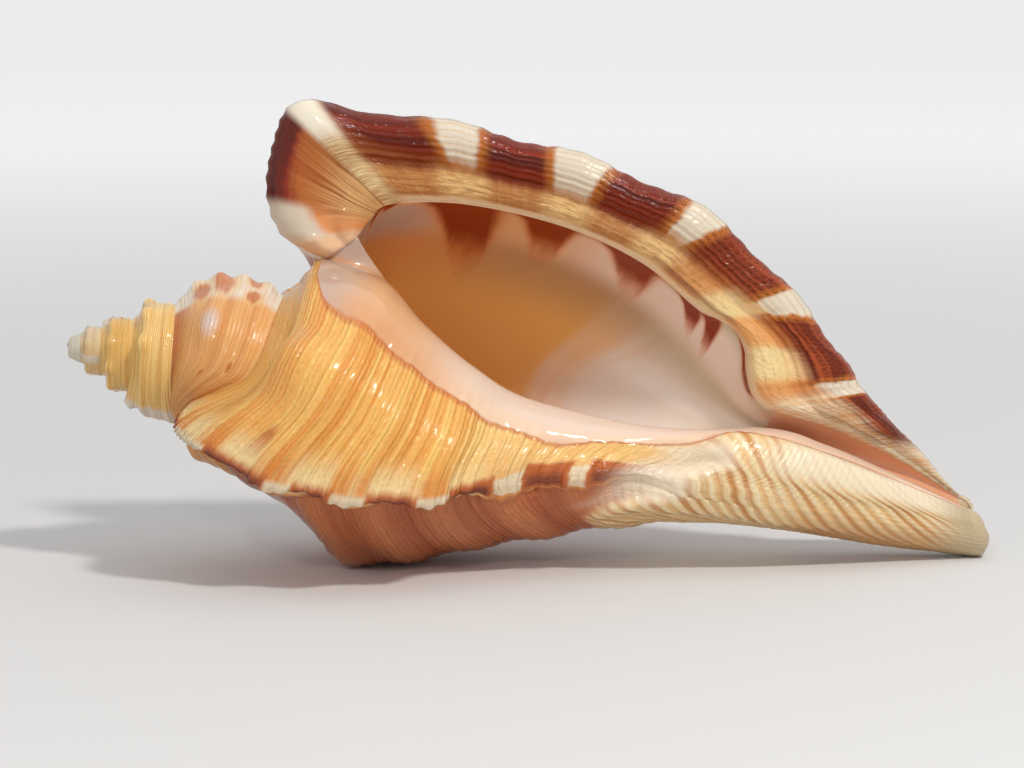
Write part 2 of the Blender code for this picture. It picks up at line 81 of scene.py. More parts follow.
# Profiles of the last whorl at six angles: (a, r) at knots 1 to 11.  Knot 0 is the suture,
# 2 the line the next whorl would follow, 3 the shoulder, 8 the start of the canal, 11 its tip.
BODY = {
    0: [(28.4, 13.9), (30.7, 17.9), (39.2, 16.7), (45.5, 11.2), (52.3, 6.7), (60.1, 3.9),
        (74.5, 4.3), (91.5, 8.2), (100.0, 7.7), (109.3, 5.9), (120.3, 3.3)],
    90: [(27.7, 14.6), (30.3, 16.7), (37.2, 19.2), (44.4, 17.4), (52.3, 13.1), (60.1, 8.6),
         (71.9, 6.3), (86.3, 5.9), (97.2, 5.4), (109.6, 4.5), (121.6, 3.2)],
    120: [(22.9, 13.1), (28.1, 15.7), (34.6, 18.7), (42.5, 17.9), (51.0, 14.9), (58.8, 11.5),
          (69.3, 8.0), (83.6, 5.5), (95.4, 4.7), (108.4, 4.1), (121.9, 3.1)],
    180: [(29.0, 13.7), (33.2, 15.0), (41.6, 19.3), (49.4, 18.4), (57.5, 14.8), (66.0, 11.6),
          (74.5, 8.2), (85.0, 5.2), (96.6, 3.8), (109.0, 3.5), (122.0, 2.9)],
    270: [(30.7, 17.6), (34.2, 20.7), (43.1, 22.7), (53.6, 22.0), (63.4, 19.0), (71.9, 14.6),
          (81.0, 11.2), (90.2, 9.4), (98.9, 8.4), (109.4, 6.8), (121.2, 3.9)],
    360: [(31.4, 21.6), (34.2, 27.2), (46.4, 31.1), (60.4, 31.0), (72.1, 28.4), (82.1, 23.3),
          (90.2, 16.7), (96.1, 13.1), (103.3, 10.5), (110.8, 8.2), (119.6, 5.7)]}

# Where the rim of the last varix (the skirt, phi 120) and of the lip (phi 360) stand, and the
# inner edges of the lip and of the inner lip at the mouth: (knot, a, height).
SKIRT_PHI = 120.0
SKIRT_RISE = 58.0           # degrees over which the skirt flares out
SKIRT_FALL = 9.0            # and falls away behind its rim
LIP_RISE = 52.0
SKIRT_RIM = [(0, 18.0, 10.2), (0.5, 17.2, 14.8), (1, 17.6, 18.6), (2, 21.4, 21.3),
             (3, 30.3, 23.8), (4, 40.3, 23.7), (5, 50.7, 20.0), (6, 59.1, 12.0),
             (7, 69.3, 9.1), (8, 83.6, 6.1), (9, 95.4, 4.8), (10, 108.4, 4.1), (11, 121.9, 3.1)]
LIP_RIM = [(0, 30.7, 17.9), (0.25, 27.2, 18.2), (0.5, 24.3, 19.1), (0.75, 22.1, 21.9),
           (1, 21.0, 25.5), (1.5, 21.0, 31.3), (1.8, 21.6, 34.6), (2, 23.1, 36.5),
           (2.3, 26.8, 37.6), (3, 43.5, 38.7), (4, 60.8, 38.0), (5, 77.9, 34.4),
           (6, 92.1, 25.9), (7, 100.8, 18.3), (8, 104.3, 15.2), (9, 108.7, 12.4),
           (10, 114.4, 9.9), (11, 119.7, 6.2)]
LIP_EDGE = [(0, 34.2, 21.7), (1, 35.6, 24.8), (2, 37.9, 26.9), (3, 47.3, 28.8), (4, 60.1, 28.6),
            (5, 71.2, 26.1), (6, 80.2, 21.4), (6.3, 82.8, 20.8), (6.6, 85.4, 19.6),
            (6.85, 86.9, 17.6), (7.1, 87.7, 14.9), (7.4, 88.9, 12.4), (7.7, 90.7, 11.0),
            (8, 92.3, 10.6), (9, 100.6, 9.9), (10, 110.0, 7.7), (11, 119.3, 4.5)]
INNER_EDGE = [(2, 34.2, 21.7), (2.25, 35.3, 20.4), (2.5, 36.6, 19.1), (3, 39.3, 16.6),
              (3.5, 42.5, 13.7), (4, 45.6, 11.2), (4.5, 48.9, 9.1), (5, 52.4, 6.7),
              (6, 60.3, 3.9), (7, 74.8, 4.4), (8, 91.6, 8.2), (9, 100.1, 7.7),
              (10, 109.5, 5.9), (11, 120.3, 3.3)]
# The front face of the lip from rim to inner edge: (share of the way, how far forward).
LIP_FACE = [(0, 0), (0.1, 1.5), (0.28, 2.2), (0.45, 1.6), (0.6, 0.5), (0.75, 0.9), (0.88, 0.7), (1, -0.8)]

# Old varices of the spire: where each stands, and how far it flares like a small skirt.
VARIX_RISE = 42             # degrees over which each one rises
VARIX_FALL = 13             # and falls
OLD_VARICES = [(-120, 0.15), (-350, 0.1), (-560, 0.9), (-840, 0.6), (-1080, 0.5), (-1320, 0.3)]
# How far a whorl swells between its sutures, as a share of the chord: the younger whorls, the
# shouldered older ones, and a varix that flares fully.
BAND_BULGE = [(0, 0), (0.12, 0.05), (0.35, 0.14), (0.6, 0.14), (0.85, 0.08), (1, 0)]
OLDER_BULGE = [(0, 0), (0.2, 0.06), (0.42, 0.24), (0.52, 0.23), (0.7, 0.15), (0.88, 0.09), (1, 0)]
VARIX_BULGE = [(0, 0), (0.05, 0.24), (0.1, 0.36), (0.25, 0.3), (0.5, 0.2), (0.75, 0.1), (1, 0)]
SPIRE_KNOBS = [*range(-1520, -620, 40), -480, -420, -297, -180, -60]

# Spiral cords, and knobs on the shoulder: (phi, knot, height).
CORD_HEIGHT = 1.5
KNOB_SPREAD = (21, 0.85)    # degrees and knots from a knob's top to its foot
KNOBS = [(76, 2.2, 2.4), (82, 3.0, 0.8), (180, 3.0, 1.0), (225, 3.0, 4.6), (265, 3.0, 1.8), (305, 3.0, 1.6)]
FASCIOLE_HEIGHT = 1.9
# The near edge of the fold that old canals left along the canal: (phi, knot).
CANAL_FOLD = [(0, 7.5), (25, 7.55), (40, 7.6), (60, 7.68), (80, 7.8), (105, 7.75), (121, 7.65),
              (136, 7.5), (147, 7.05), (165, 6.8), (360, 6.8)]
SEAM_HEIGHT = 0.5           # the roll beside the suture, behind the skirt

# The inner lip's callus: (knot, phi of its outer margin, thickness).
CALLUS = [(2, 30, 0.6), (2.3, 47, 0.9), (3, 57, 0.9), (4, 67, 0.8), (5, 76, 0.9), (6, 88, 1.3),
          (6.5, 92, 1.5), (7, 80, 1.3), (7.5, 52, 1.0), (8, 34, 0.8), (9, 30, 0.7),
          (10, 26, 0.5), (11, 20, 0.3)]

# The hollow: angles back from the mouth, and the wall's thickness.
HOLLOW_BACK = (0, 8, 18, 30, 43, 57, 73, 90, 107, 124, 142, 160, 178, 190, 200)
MOUTH_ROWS = 4 * HOLLOW_FINER    # the first rows run down into the canal's groove
WALL = 2.4
NOTCH_A = 30.2              # toward the spire the hollow ends here
TURN_SHRINK = 0.56          # a whorl's size to that of the next
COLUMN_RADIUS = 2.6         # the solid column round the axis
GROOVE_DEPTH = [(8, 4.6), (9, 3.2), (10, 1.7), (11, 0.5)]

# White bars where the main cords reach a rim: (knot, half the width in knots).
SKIRT_BARS = [(1.45, 0.55), (3.15, 0.16), (4.05, 0.22), (5.08, 0.23), (6.1, 0.2), (6.93, 0.09)]
LIP_BARS = [(0.3, 0.45), (1.98, 0.14), (3.02, 0.17), (4.0, 0.23), (5.04, 0.17), (6.1, 0.17), (7.6, 0.3)]
# Dark tongues inside the lip: (knot, half width in knots, length in degrees, lean in knots).
BLOTCHES = [(1.95, 0.25, 12, 0), (1.6, 0.22, 20, 0.1), (2.88, 0.55, 32, 0.4), (3.83, 0.44, 24, 0.15),
            (4.8, 0.54, 22, 0.3), (5.75, 0.26, 18, 0.3), (6.15, 0.2, 20, 0.25), (7.05, 0.5, 8, 0.1)]
# Rusty spots outside, and the worn knob: (phi, knot, half length in degrees, half width in knots).
SPOTS = [(-332, 0.58, 14, 0.2), (-340, 1.0, 18, 0.26), (-346, 1.55, 10, 0.16), (-326, 1.58, 9, 0.16),
         (-263, 1.08, 5, 0.07), (-272, 1.58, 5, 0.07), (-1066, 0.7, 14, 0.16), (-1060, 1.4, 12, 0.14),
         (109, 2.6, 9, 0.11)]
WORN_KNOB = (-297, 0.92, 15, 0.26)
# Where the old varices are white: (from, to) degrees.
WHITE_CRESTS = [(-1330, -1312), (-1092, -1058), (-850, -828), (-568, -549), (-366, -321), (-132, -100)]
MM_PER_DEGREE = 0.42        # along the last whorl's rims
SMALL_CORDS = 5             # small cords from one main cord to the next
SMALL_CORD_HEIGHT = 0.28
SKIRT_SWEEP = 28.0          # degrees by which the skirt's rim sweeps forward along the canal
ROLL_LOWERED = 10.0         # degrees by which it hangs down again beside the canal's start
CANAL_CORDS = 5.8           # oblique cords to a knot on the canal's fold
CANAL_CORD_HEIGHT = 0.32
CANAL_SLANT = 4.3           # knots by which they shift in one turn
LOBE_KNOT = 6.9             # the swelling of the lip's inner ridge near the canal
LOBE_HEIGHT = 1.0
EAR_RAYS = 6.0              # ridges to a knot that fan over the lip's ear
# The canal's blunt tip, ring by ring: (share of the nose's length, size).
TIP_RINGS = [(0.3, 0.98), (0.6, 0.93), (0.85, 0.8), (1.0, 0.5)]

# What each corner of a face knows of its place: knot, turns since the last whorl began, millimetres
# in from the lip's rim, degrees inside the inner lip's glaze, depth inside a white bar in knots,
# 1 in the middle of a dark tongue or spot, 1 on a white crest, millimetres from the nearest rim,
# and knots beyond the edge of the canal's fold.
MARKS = ("knot", "turn", "inset", "glaze", "bars", "blotch", "crest", "rim", "fold")
OUTSIDE, LIP, MOUTH = range(3)

# Where the tip of the spire stands (millimetres), and the camera's place from it (metres).
APEX_AT = np.array([-60.513, 0.182, 28.989])
CAMERA_DISTANCE = 0.45
CAMERA_RIGHT = 0.05816
CAMERA_UP = -0.0051
CAMERA_LENS = 121.0
FLOOR_SIZE = 6.0
# The lamps: name, place, size, power and colour.
LAMPS_AIM = Vector((0, 0, 0.03))
LAMPS = [("key", (0.25, -0.3, 0.5), 0.07, 2.0, (1.0, 0.97, 0.92)),
         ("second key", (-0.15, -0.55, 0.35), 0.035, 0.4, (1.0, 0.97, 0.92)),
         ("fill", (-0.45, -0.35, 0.25), 0.9, 0.5, (0.98, 0.98, 1.0)),
         ("top", (0.05, 0.15, 0.6), 0.9, 0.9, (1.0, 1.0, 1.0))]
# What the shader has in common all over the shell.
SHELL_SHADER = {"Subsurface Weight": 0.12, "Subsurface Radius": (1.0, 0.45, 0.25),
                "Subsurface Scale": 0.0015, "Coat Roughness": 0.08}


def curve(xs, ys, x):
    """A smooth curve through the points, read at x."""
    xs = np.asarray(xs, float)
    ys = np.asarray(ys, float).reshape(len(xs), -1)
    x = np.atleast_1d(np.asarray(x, float))
    slope = np.empty_like(ys)
    slope[1:-1] = (ys[2:] - ys[:-2]) / (xs[2:] - xs[:-2])[:, None]
    slope[0] = (ys[1] - ys[0]) / (xs[1] - xs[0])
    slope[-1] = (ys[-1] - ys[-2]) / (xs[-1] - xs[-2])
    i = np.clip(np.searchsorted(xs, x, side="right") - 1, 0, len(xs) - 2)
    step = (xs[i + 1] - xs[i])[:, None]
    t = np.clip((x - xs[i])[:, None] / step, 0, 1)
    return ((2 * t**3 - 3 * t**2 + 1) * ys[i] + (t**3 - 2 * t**2 + t) * step * slope[i]
            + (3 * t**2 - 2 * t**3) * ys[i + 1] + (t**3 - t**2) * step * slope[i + 1])


def table(rows, x, column=1):
    """A smooth curve through one column of some rows, read at x."""
    rows = np.array(rows, float)
    return curve(rows[:, 0], rows[:, column], x)[:, 0]


def ease(x, low, high):
    """0 below low, 1 above high, smooth between."""
    t = np.clip((np.asarray(x, float) - low) / (high - low), 0, 1)
    return t * t * (3 - 2 * t)


def suture(phi):
    """(a, r) of the line where each whorl joins the one before."""
    rows = np.array(SUTURE, float)
    return curve(rows[:, 0], rows[:, 1:], phi)


def body_profile(phi, s):
    """(a, r) of the last whorl without its varices, rows by columns."""
    keys = sorted(BODY)
    flat = np.array([np.ravel(BODY[k]) for k in keys], float)
    rows = curve(keys, flat, phi).reshape(len(phi), 11, 2)
    rows = np.concatenate([suture(phi)[:, None, :], rows], axis=1)
    return np.stack([curve(range(12), row, s) for row in rows])


def varix_swell(phi):
    """How high the nearest old varix stands, 0 to 1, and how much of a flare it has."""
    swell = np.zeros_like(phi)
    flare = np.zeros_like(phi)
    for at, reach in OLD_VARICES:
        before = np.clip(1 - (at - phi) / VARIX_RISE, 0, 1)**1.6
        after = np.clip(1 - (phi - at) / VARIX_FALL, 0, 1)
        w = np.where(phi <= at, before, after)
        swell = np.maximum(swell, w)
        flare = np.maximum(flare, w * reach)
    return swell, flare


def spire_profile(phi, s):
    """(a, r) of the spire's whorls from each suture to the next, rows by columns."""
    start = suture(phi)
    start[phi <= APEX_PHI] = 0
    chord = suture(phi + 360) - start
    out = np.stack([-chord[:, 1], chord[:, 0]], axis=1)
    v = s / 2
    swell, flare = varix_swell(phi)
    older = 1 - ease(phi, -560, -400)[:, None]
    bulge = (1 - older) * table(BAND_BULGE, v) * (1 + 0.2 * swell[:, None])
    bulge = bulge + older * table(OLDER_BULGE, v)
    bulge = bulge + flare[:, None] * (table(VARIX_BULGE, v) - bulge)
    spire = start[:, None] + chord[:, None] * v[None, :, None] + out[:, None] * bulge[..., None]
    # toward phi 0 it takes on the shape with which the last whorl begins
    first = body_profile(np.array([0.0]), s)[0]
    c = first[-1] - first[0]
    along = (first - first[0]) @ c / (c @ c)
    off = (first - first[0]) @ np.array([-c[1], c[0]]) / (c @ c)
    last = (start[:, None] + chord[:, None] * along[None, :, None]
            + out[:, None] * off[None, :, None])
    w = ease(phi, -55, 0)[:, None, None]
    return spire * (1 - w) + last * w


def flared(phi, s):
    """(a, r) of the last whorl with the skirt varix and the lip flared out."""
    base = body_profile(phi, s)
    plain = body_profile(np.array([SKIRT_PHI, 360.0]), s)
    skirt = rim_of(SKIRT_RIM, s) - plain[0]
    lip = rim_of(LIP_RIM, s) - plain[1]
    rise = np.clip((phi - (SKIRT_PHI - SKIRT_RISE)) / SKIRT_RISE, 0, 1)**1.7
    fall = np.clip(1 - (phi - SKIRT_PHI) / SKIRT_FALL, 0, 1)**1.3
    at_skirt = np.where(phi <= SKIRT_PHI, rise, fall)
    at_lip = np.clip((phi - (360 - LIP_RISE)) / LIP_RISE, 0, 1)**1.8
    return base + at_skirt[:, None, None] * skirt[None] + at_lip[:, None, None] * lip[None]


def rim_of(rows, s):
    """(a, height) along a rim given at some knots."""
    rows = np.array(rows, float)
    return curve(rows[:, 0], rows[:, 1:], s)


def place(a, height, depth):
    """A point of the shell's own frame, with the canal curved back and the spire lifted."""
    t = np.clip((a - CANAL_BEND_FROM) / CANAL_BEND_OVER, 0, 1.1)
    lift = table(SPIRE_LIFT, np.ravel(a)).reshape(np.shape(a))
    return np.stack([a, height + lift, depth - CANAL_BEND * t**1.7], axis=-1)


def turn(profile, phi):
    """Rows of (a, r) at angles phi (rows, or rows by columns) as points."""
    angle = np.radians(phi if np.ndim(phi) == 2 else phi[:, None])
    return place(profile[..., 0], profile[..., 1] * np.cos(angle), profile[..., 1] * np.sin(angle))


def raise_by(grid, height):
    """Moves each point of a grid outward along the surface's normal."""
    across = np.gradient(grid, axis=1)
    along = np.gradient(grid, axis=0)
    normal = np.cross(along, across)
    normal /= np.maximum(np.linalg.norm(normal, axis=-1, keepdims=True), 1e-9)
    return grid + normal * height[..., None]


def wander(x, seed):
    """A slow, even wobble between -1 and 1."""
    return (np.sin(x + seed) + 0.6 * np.sin(2.3 * x + 1.7 * seed) + 0.4 * np.sin(4.1 * x + 2.9 * seed)) / 2


def callus_edge(s):
    """The growth angle at which the inner lip's glaze ends."""
    return table(CALLUS, s) + 0.8 * wander(5 * s, 1.0)


def callus_height(phi, s):
    """How thick the inner lip's glaze lies, rows by columns."""
    thick = table(CALLUS, s, 2) * ease(s, 1.99, 2.6)
    within = np.clip(1 - phi[:, None] / callus_edge(s)[None, :], 0, 1)**0.4
    return within * thick[None, :] * ease(phi, 4, 40)[:, None]


def bump(x, width):
    """1 at 0, falling smoothly to 0 at the given distance."""
    t = np.clip(1 - (x / width)**2, 0, 1)
    return t * t


def wave(x):
    """0 to 1 and back for every whole x, highest at the whole numbers."""
    return 0.5 + 0.5 * np.cos(2 * np.pi * x)


def body_relief(phi, s):
    """Spiral cords, shoulder knobs and the folds of the old canal on the last whorl."""
    phi = phi[:, None]
    s = s[None, :]
    on_skirt = ease(phi, 70, 118) * (phi < 128)
    on_lip = ease(phi, 315, 356)
    body = ease(s, 2.1, 2.8) * (1 - ease(s, 7.2, 8.2)) * ease(phi, 25, 60)
    relief = CORD_HEIGHT * (wave(s) - 0.4) * body * (0.35 + 0.5 * on_skirt + 0.45 * on_lip)
    fine = wave(s * SMALL_CORDS + 0.15 * wander(phi / 30, 2.0))
    between = 0.5 + on_skirt + on_lip * (0.9 - wave(s))
    relief = relief + SMALL_CORD_HEIGHT * (fine - 0.5) * body * between
    # cord ends crimp the rims
    crimp = np.maximum(bump(phi - SKIRT_PHI, 7), bump(phi - 360, 10))
    rays = np.where(s < 2, 0.3 * wave(s * EAR_RAYS), 0.2 * wave(s * 6) * (1 - wave(s)))
    relief = relief + crimp * (rays - 0.1) * ease(s, 0.3, 0.6) * (1 - ease(s, 9.4, 9.9))
    for at, knot, height in KNOBS:
        relief = relief + height * bump(phi - at, KNOB_SPREAD[0]) * bump(s - knot, KNOB_SPREAD[1])
    # growth lines across the whorl
    growth = wander(phi * 0.9 + 0.6 * wander(s * 2, 1.0), 3.0)
    relief = relief + 0.05 * growth * ease(s, 0.2, 0.6)
    past = s - table(CANAL_FOLD, phi[:, 0])[:, None]
    along = ease(phi, 16, 42) * (1 - ease(phi, 135, 168))
    canal = FASCIOLE_HEIGHT * ease(past, -0.12, 0.3) * (1 - ease(s, 8.7, 10.6)) * along
    valley = -1.1 * bump(past + 0.05, 0.35) * bump(phi - 84, 34)
    seam = SEAM_HEIGHT * bump(s - 0.5, 0.55) * ease(phi, 126, 140) * (1 - ease(phi, 205, 235))
    slant = s - phi / 360 * CANAL_SLANT
    later = 30 * ease(s, 8, 9.2)
    oblique = ease(past, 0.1, 0.35) * (1 - ease(s, 10.2, 10.8)) * ease(phi - later, 44, 60)
    oblique = oblique * (1 - ease(phi, 190, 240))
    relief = relief + CANAL_CORD_HEIGHT * (wave(slant * CANAL_CORDS) - 0.5) * oblique
    return relief + canal + valley + seam


def spire_relief(phi, v):
    """Knobs on the shoulder and cords on the spire's whorls; v runs from suture to suture."""
    swell = varix_swell(phi)[0][:, None]
    phi = phi[:, None]
    v = v[None, :]
    size = 2.0**(phi / 360)
    relief = 0.0
    for at in SPIRE_KNOBS:
        if min(abs(at - varix) for varix, _ in OLD_VARICES) < 15:
            continue
        high, wide = (2.2, 15) if at < -620 else (1.1, 21)
        relief = relief + high * size * bump(phi - at, wide) * bump(v - 0.44, 0.24)
    cords = (0.3 + 1.1 * swell) * size * wave(v * 4.5) + 0.12 * size * wave(v * 13.5)
    relief = relief + cords * ease(v, 0.02, 0.16) * (1 - ease(v, 0.88, 1))
    return relief * ease(phi, -1620, -1440)


def angles(first, last):
    """The rows' growth angles from first to last."""
    third = np.interp(np.arange(ROWS_THIRD) * 12 / ROWS_THIRD, range(13), THIRD)
    steps = [k * 120.0 + t for k in range(first // 120, last // 120) for t in third]
    return np.array(steps + [float(last)])


def knots():
    """The columns' places across the whorl."""
    band = np.linspace(0, 2, COLUMNS_BAND + 1)
    body = np.linspace(2, 8, 6 * COLUMNS_BODY + 1)[1:]
    canal = np.linspace(8, 11, 3 * COLUMNS_CANAL + 1)[1:]
    return np.concatenate([band, body, canal])


def shell_parts():
    """The spire and the last whorl, in the shell's own frame."""
    s = knots()
    last = angles(0, 360)
    spire = angles(FIRST_PHI, 0)[:-1]
    body = flared(last, s)
    swept = ease(s, 5, 8.5)[None, :] * np.exp(-((last - 112) / 40)**2)[:, None]
    lowered = bump(s - 6.4, 1.3)[None, :] * np.exp(-((last - 125) / 22)**2)[:, None]
    lagging = ease(s, 8, 11)[None, :] * ease(last, 250, 360)[:, None]
    phi = last[:, None] - SKIRT_SWEEP * swept + ROLL_LOWERED * lowered - LIP_TIP_LAG * lagging
    glazed = ease(callus_edge(s)[None, :] - last[:, None], 0, 7) * (s > 1.99)
    outer = raise_by(turn(body, phi), callus_height(last, s) + body_relief(last, s) * (1 - 0.8 * glazed))
    upper = turn(spire_profile(spire, s[:EAR + 1]), spire)
    upper = raise_by(upper, spire_relief(spire, s[:EAR + 1] / 2))
    upper[:, EAR] = turn(suture(spire + 360)[:, None], spire)[:, 0]
    return s, last, spire, outer, upper


def lip_relief(t, s):
    """Ridges along the lip's banded rim, its swollen white bars and the wrinkled inner ridge."""
    t = t[:, None]
    s = s[None, :]
    body = ease(s, 2.0, 2.6) * (1 - ease(s, 9.4, 9.9))
    banded = ease(t, 0.0, 0.05) * (1 - ease(t, 0.42, 0.62))
    relief = 0.16 * (wave(t / 0.085) - 0.5) * banded * ease(s, 1.9, 2.5) * (1 - ease(s, 8, 9))
    relief = relief + 0.6 * (wave(s) - 0.45) * body * banded
    wrinkled = bump(t - 0.76, 0.16) * ease(s, 2.3, 3.0) * (1 - ease(s, 5.6, 7.0))
    relief = relief + 0.1 * wander(t * 70 + 3 * np.sin(s * 7) + s * 4, 1.0) * wrinkled
    relief = relief + LOBE_HEIGHT * bump(t - 0.78, 0.3) * bump(s - LOBE_KNOT, 0.8)
    ear = 1 - ease(s, 1.9, 2.3)
    faint = 1 - 0.75 * ease(t, 0.1, 0.4) * ease(s, 0.8, 1.0)
    rays = (wave(s * EAR_RAYS) - 0.5) * ease(t, 0.0, 0.06) * faint
    plain = 1 - bump(s - 2.02, 0.5)
    relief = relief + 0.3 * rays * ear * plain * ease(s, 0.1, 0.4) * (1 - ease(t, 0.85, 1))
    corner = bump(s - 2.02, 0.42) * (1 - ease(t, 0.5, 0.95))
    arcs = 0.07 * wave(t * 15 + 0.4 * np.sin(t * 9)) * bump(s - 2.02, 0.3) * ease(t, 0.15, 0.35)
    return relief + 0.7 * corner + arcs


def lip_face(outer, s, rows):
    """From the rim to the lip's inner edge."""
    edge = rim_of(LIP_EDGE, s)
    edge = place(edge[:, 0], edge[:, 1], -0.6 * ease(s, 0, 2) - 2.6 * ease(s, 8, 11))
    rim = outer[-1]
    width = np.linalg.norm(edge - rim, axis=1)
    share = np.linspace(0, 1, rows + 1)
    face = []
    for t in share:
        p = rim * (1 - t) + edge * t
        p[:, 2] += table(LIP_FACE, t)[0] * np.clip(width / 9.0, 0, 1)
        face.append(p)
    face = np.array(face)
    fade = np.clip(width / 6.0, 0, 1)[None, :] * (ease(share, 0, 0.06) * (1 - ease(share, 0.94, 1)))[:, None]
    face = raise_by(face, lip_relief(share, s) * fade)
    face[0] = rim
    return face


def inner_face(outer, face, s, rows):
    """From the last whorl's start over the crest of the inner lip."""
    own = s[EAR:]
    edge = rim_of(INNER_EDGE, own)
    start = outer[0, EAR:]
    edge = place(edge[:, 0], edge[:, 1], -0.22 * edge[:, 1] * ease(own, 2, 3.5))
    out = np.array([start * (1 - t) + edge * t for t in np.linspace(0, 1, rows + 1)])
    out[:, 0] = face[:, 0]
    return out


def hollow_walls(s, face, inner, back):
    """Rows back from the mouth: the cavity's outer side, and its side over the whorl before."""
    outer_s = s[:CANAL + 1]
    inner_s = s[EAR:CANAL + 1]
    mouth_o = face[-1, :CANAL + 1]
    mouth_i = inner[-1, :CANAL - EAR + 1]
    start = body_profile(np.array([0.0]), inner_s)[0]
    rows_o = []
    rows_i = []
    for delta in back:
        phi = np.array([360 - delta])
        shrink = 1 - 0.12 * ease(delta, 20, 70)
        wall = body_profile(phi, outer_s * shrink)[0]
        tangent = np.gradient(wall, axis=0)
        tangent /= np.linalg.norm(tangent, axis=1, keepdims=True)
        wall = wall + np.stack([tangent[:, 1], -tangent[:, 0]], axis=1) * WALL
        joint = suture(phi)[0] + [2.2, 1.6 - 2.4 * float(ease(delta, 90, 150))]
        joint[0] = max(joint[0], NOTCH_A)
        k = ease(outer_s, 0.0, 1.6)[:, None]
        wall = joint * (1 - k) + wall * k
        wall = np.where(outer_s[:, None] < 2, np.maximum(wall, joint), wall)
        # the floor of the hollow is the whorl before, which shrinks as it goes back
        size = TURN_SHRINK**(delta / 360)
        under = joint + (start - start[0]) * size
        under[:, 1] -= 3.2 * ease(inner_s, 2.0, 3.2)
        end = wall[-1]
        k = ease(inner_s, 5.0, 8.0)[:, None]
        under = under * (1 - k) + end * k
        least = COLUMN_RADIUS * size
        under[:, 1] = np.maximum(under[:, 1], least + (end[1] - least) * k[:, 0])
        lag = 15 * ease(inner_s, 2, 4) * (1 - ease(delta, 50, 120))
        # near the mouth both sides leave its edges gently
        w = 1 - (1 - ease(delta, 0, 40))**2
        rows_o.append(mouth_o + (turn(wall[None], phi)[0] - mouth_o) * w)
        rows_i.append(mouth_i + (turn(under[None], -(delta + lag)[None])[0] - mouth_i) * w)
    return np.array(rows_o), np.array(rows_i)


def groove_rows(lip, crest, depth):
    """The canal's open groove, from the lip's edge down and up to the inner lip."""
    rows = []
    for t in np.linspace(0, np.pi, 2 * MOUTH_ROWS + 1):
        w = (1 - np.cos(t)) / 2
        p = lip * (1 - w) + crest * w
        p[:, 1] -= 0.45 * depth * np.sin(t)
        p[:, 2] -= depth * np.sin(t)
        rows.append(p)
    return np.array(rows)


def hollow(s, face, inner):
    """The mouth's cavity, row by row back into the shell, and the canal's groove."""
    finer = np.arange((len(HOLLOW_BACK) - 1) * HOLLOW_FINER + 1) / HOLLOW_FINER
    back = np.interp(finer, range(len(HOLLOW_BACK)), HOLLOW_BACK)
    rows_o, rows_i = hollow_walls(s, face, inner, back)
    groove = groove_rows(face[-1, CANAL:], inner[-1, CANAL - EAR:], table(GROOVE_DEPTH, s[CANAL:]))
    # the first rows end on the groove's first section
    for d in range(MOUTH_ROWS + 1):
        for rows, target in ((rows_o, groove[d, 0]), (rows_i, groove[2 * MOUTH_ROWS - d, 0])):
            k = ease(np.linspace(0, 1, rows.shape[1]), 0.55, 1)
            rows[d] += (target - rows[d, -1]) * k[:, None]
    return back, rows_o, rows_i, groove


def bar_field(s, bars):
    """How far, in knots, each line of growth lies inside the nearest white bar; outside is minus."""
    return np.max([half - np.abs(s - at) for at, half in bars], axis=0)


def blotch_field(s, depth):
    """1 at the root of each dark tongue inside the lip, 0 at its edge."""
    best = np.full(np.broadcast(s, depth).shape, -1.0)
    for at, half, length, lean in BLOTCHES:
        along = depth / length
        side = np.abs(s - at - lean * along) / (half * (1.05 - 0.75 * along))
        best = np.maximum(best, 1 - np.maximum(side, along))
    return np.clip(best, -1, 1)


def spot_field(phi, s, spots):
    """1 at the middle of each spot, 0 at its edge and less beyond."""
    best = np.full(np.broadcast(phi, s).shape, -1.0)
    for at, knot, length, width in spots:
        best = np.maximum(best, 1 - np.hypot((phi - at) / length, (s - knot) / width))
    return best


def white_crest(phi):
    """1 where an old varix is white, 0 elsewhere."""
    return np.max([ease(phi, low - 4, low + 4) * (1 - ease(phi, high - 5, high + 5))
                   for low, high in WHITE_CRESTS], axis=0)


class Skin:
    """Collects the shell's points and faces, and what each face's corners say of their place."""

    def __init__(self):
        self.points = []
        self.faces = []
        self.materials = []
        self.marks = []

    def grid(self, points):
        """Takes in a grid of points and returns their numbers."""
        start = len(self.points)
        self.points.extend(points.reshape(-1, 3))
        return start + np.arange(points.shape[0] * points.shape[1]).reshape(points.shape[:2])

    def point(self, place):
        return self.grid(place[None, None])[0, 0]

    def cover(self, ids, marks, material):
        """Faces over a grid of point numbers; where two corners are one point, a triangle."""
        for i in range(len(ids) - 1):
            for j in range(ids.shape[1] - 1):
                corners = [(i, j), (i, j + 1), (i + 1, j + 1), (i + 1, j)]
                kept = [c for k, c in enumerate(corners) if ids[c] != ids[corners[k - 1]]]
                if len(kept) > 2:
                    self.face([ids[c] for c in kept], [marks[c] for c in kept], material)

    def face(self, ids, marks, material):
        self.faces.append([int(v) for v in ids])
        self.marks.extend(marks)
        self.materials.append(material)


def marks_of(shape, **fields):
    """One row of marks for each point of a grid, in the order of MARKS."""
    base = {"glaze": -9.0, "bars": -1.0, "blotch": -1.0, "rim": 99.0, "fold": -9.0}
    base.update(fields)
    columns = [np.broadcast_to(np.asarray(base.get(name, 0.0), float), shape) for name in MARKS]
    return np.stack(columns, axis=-1)


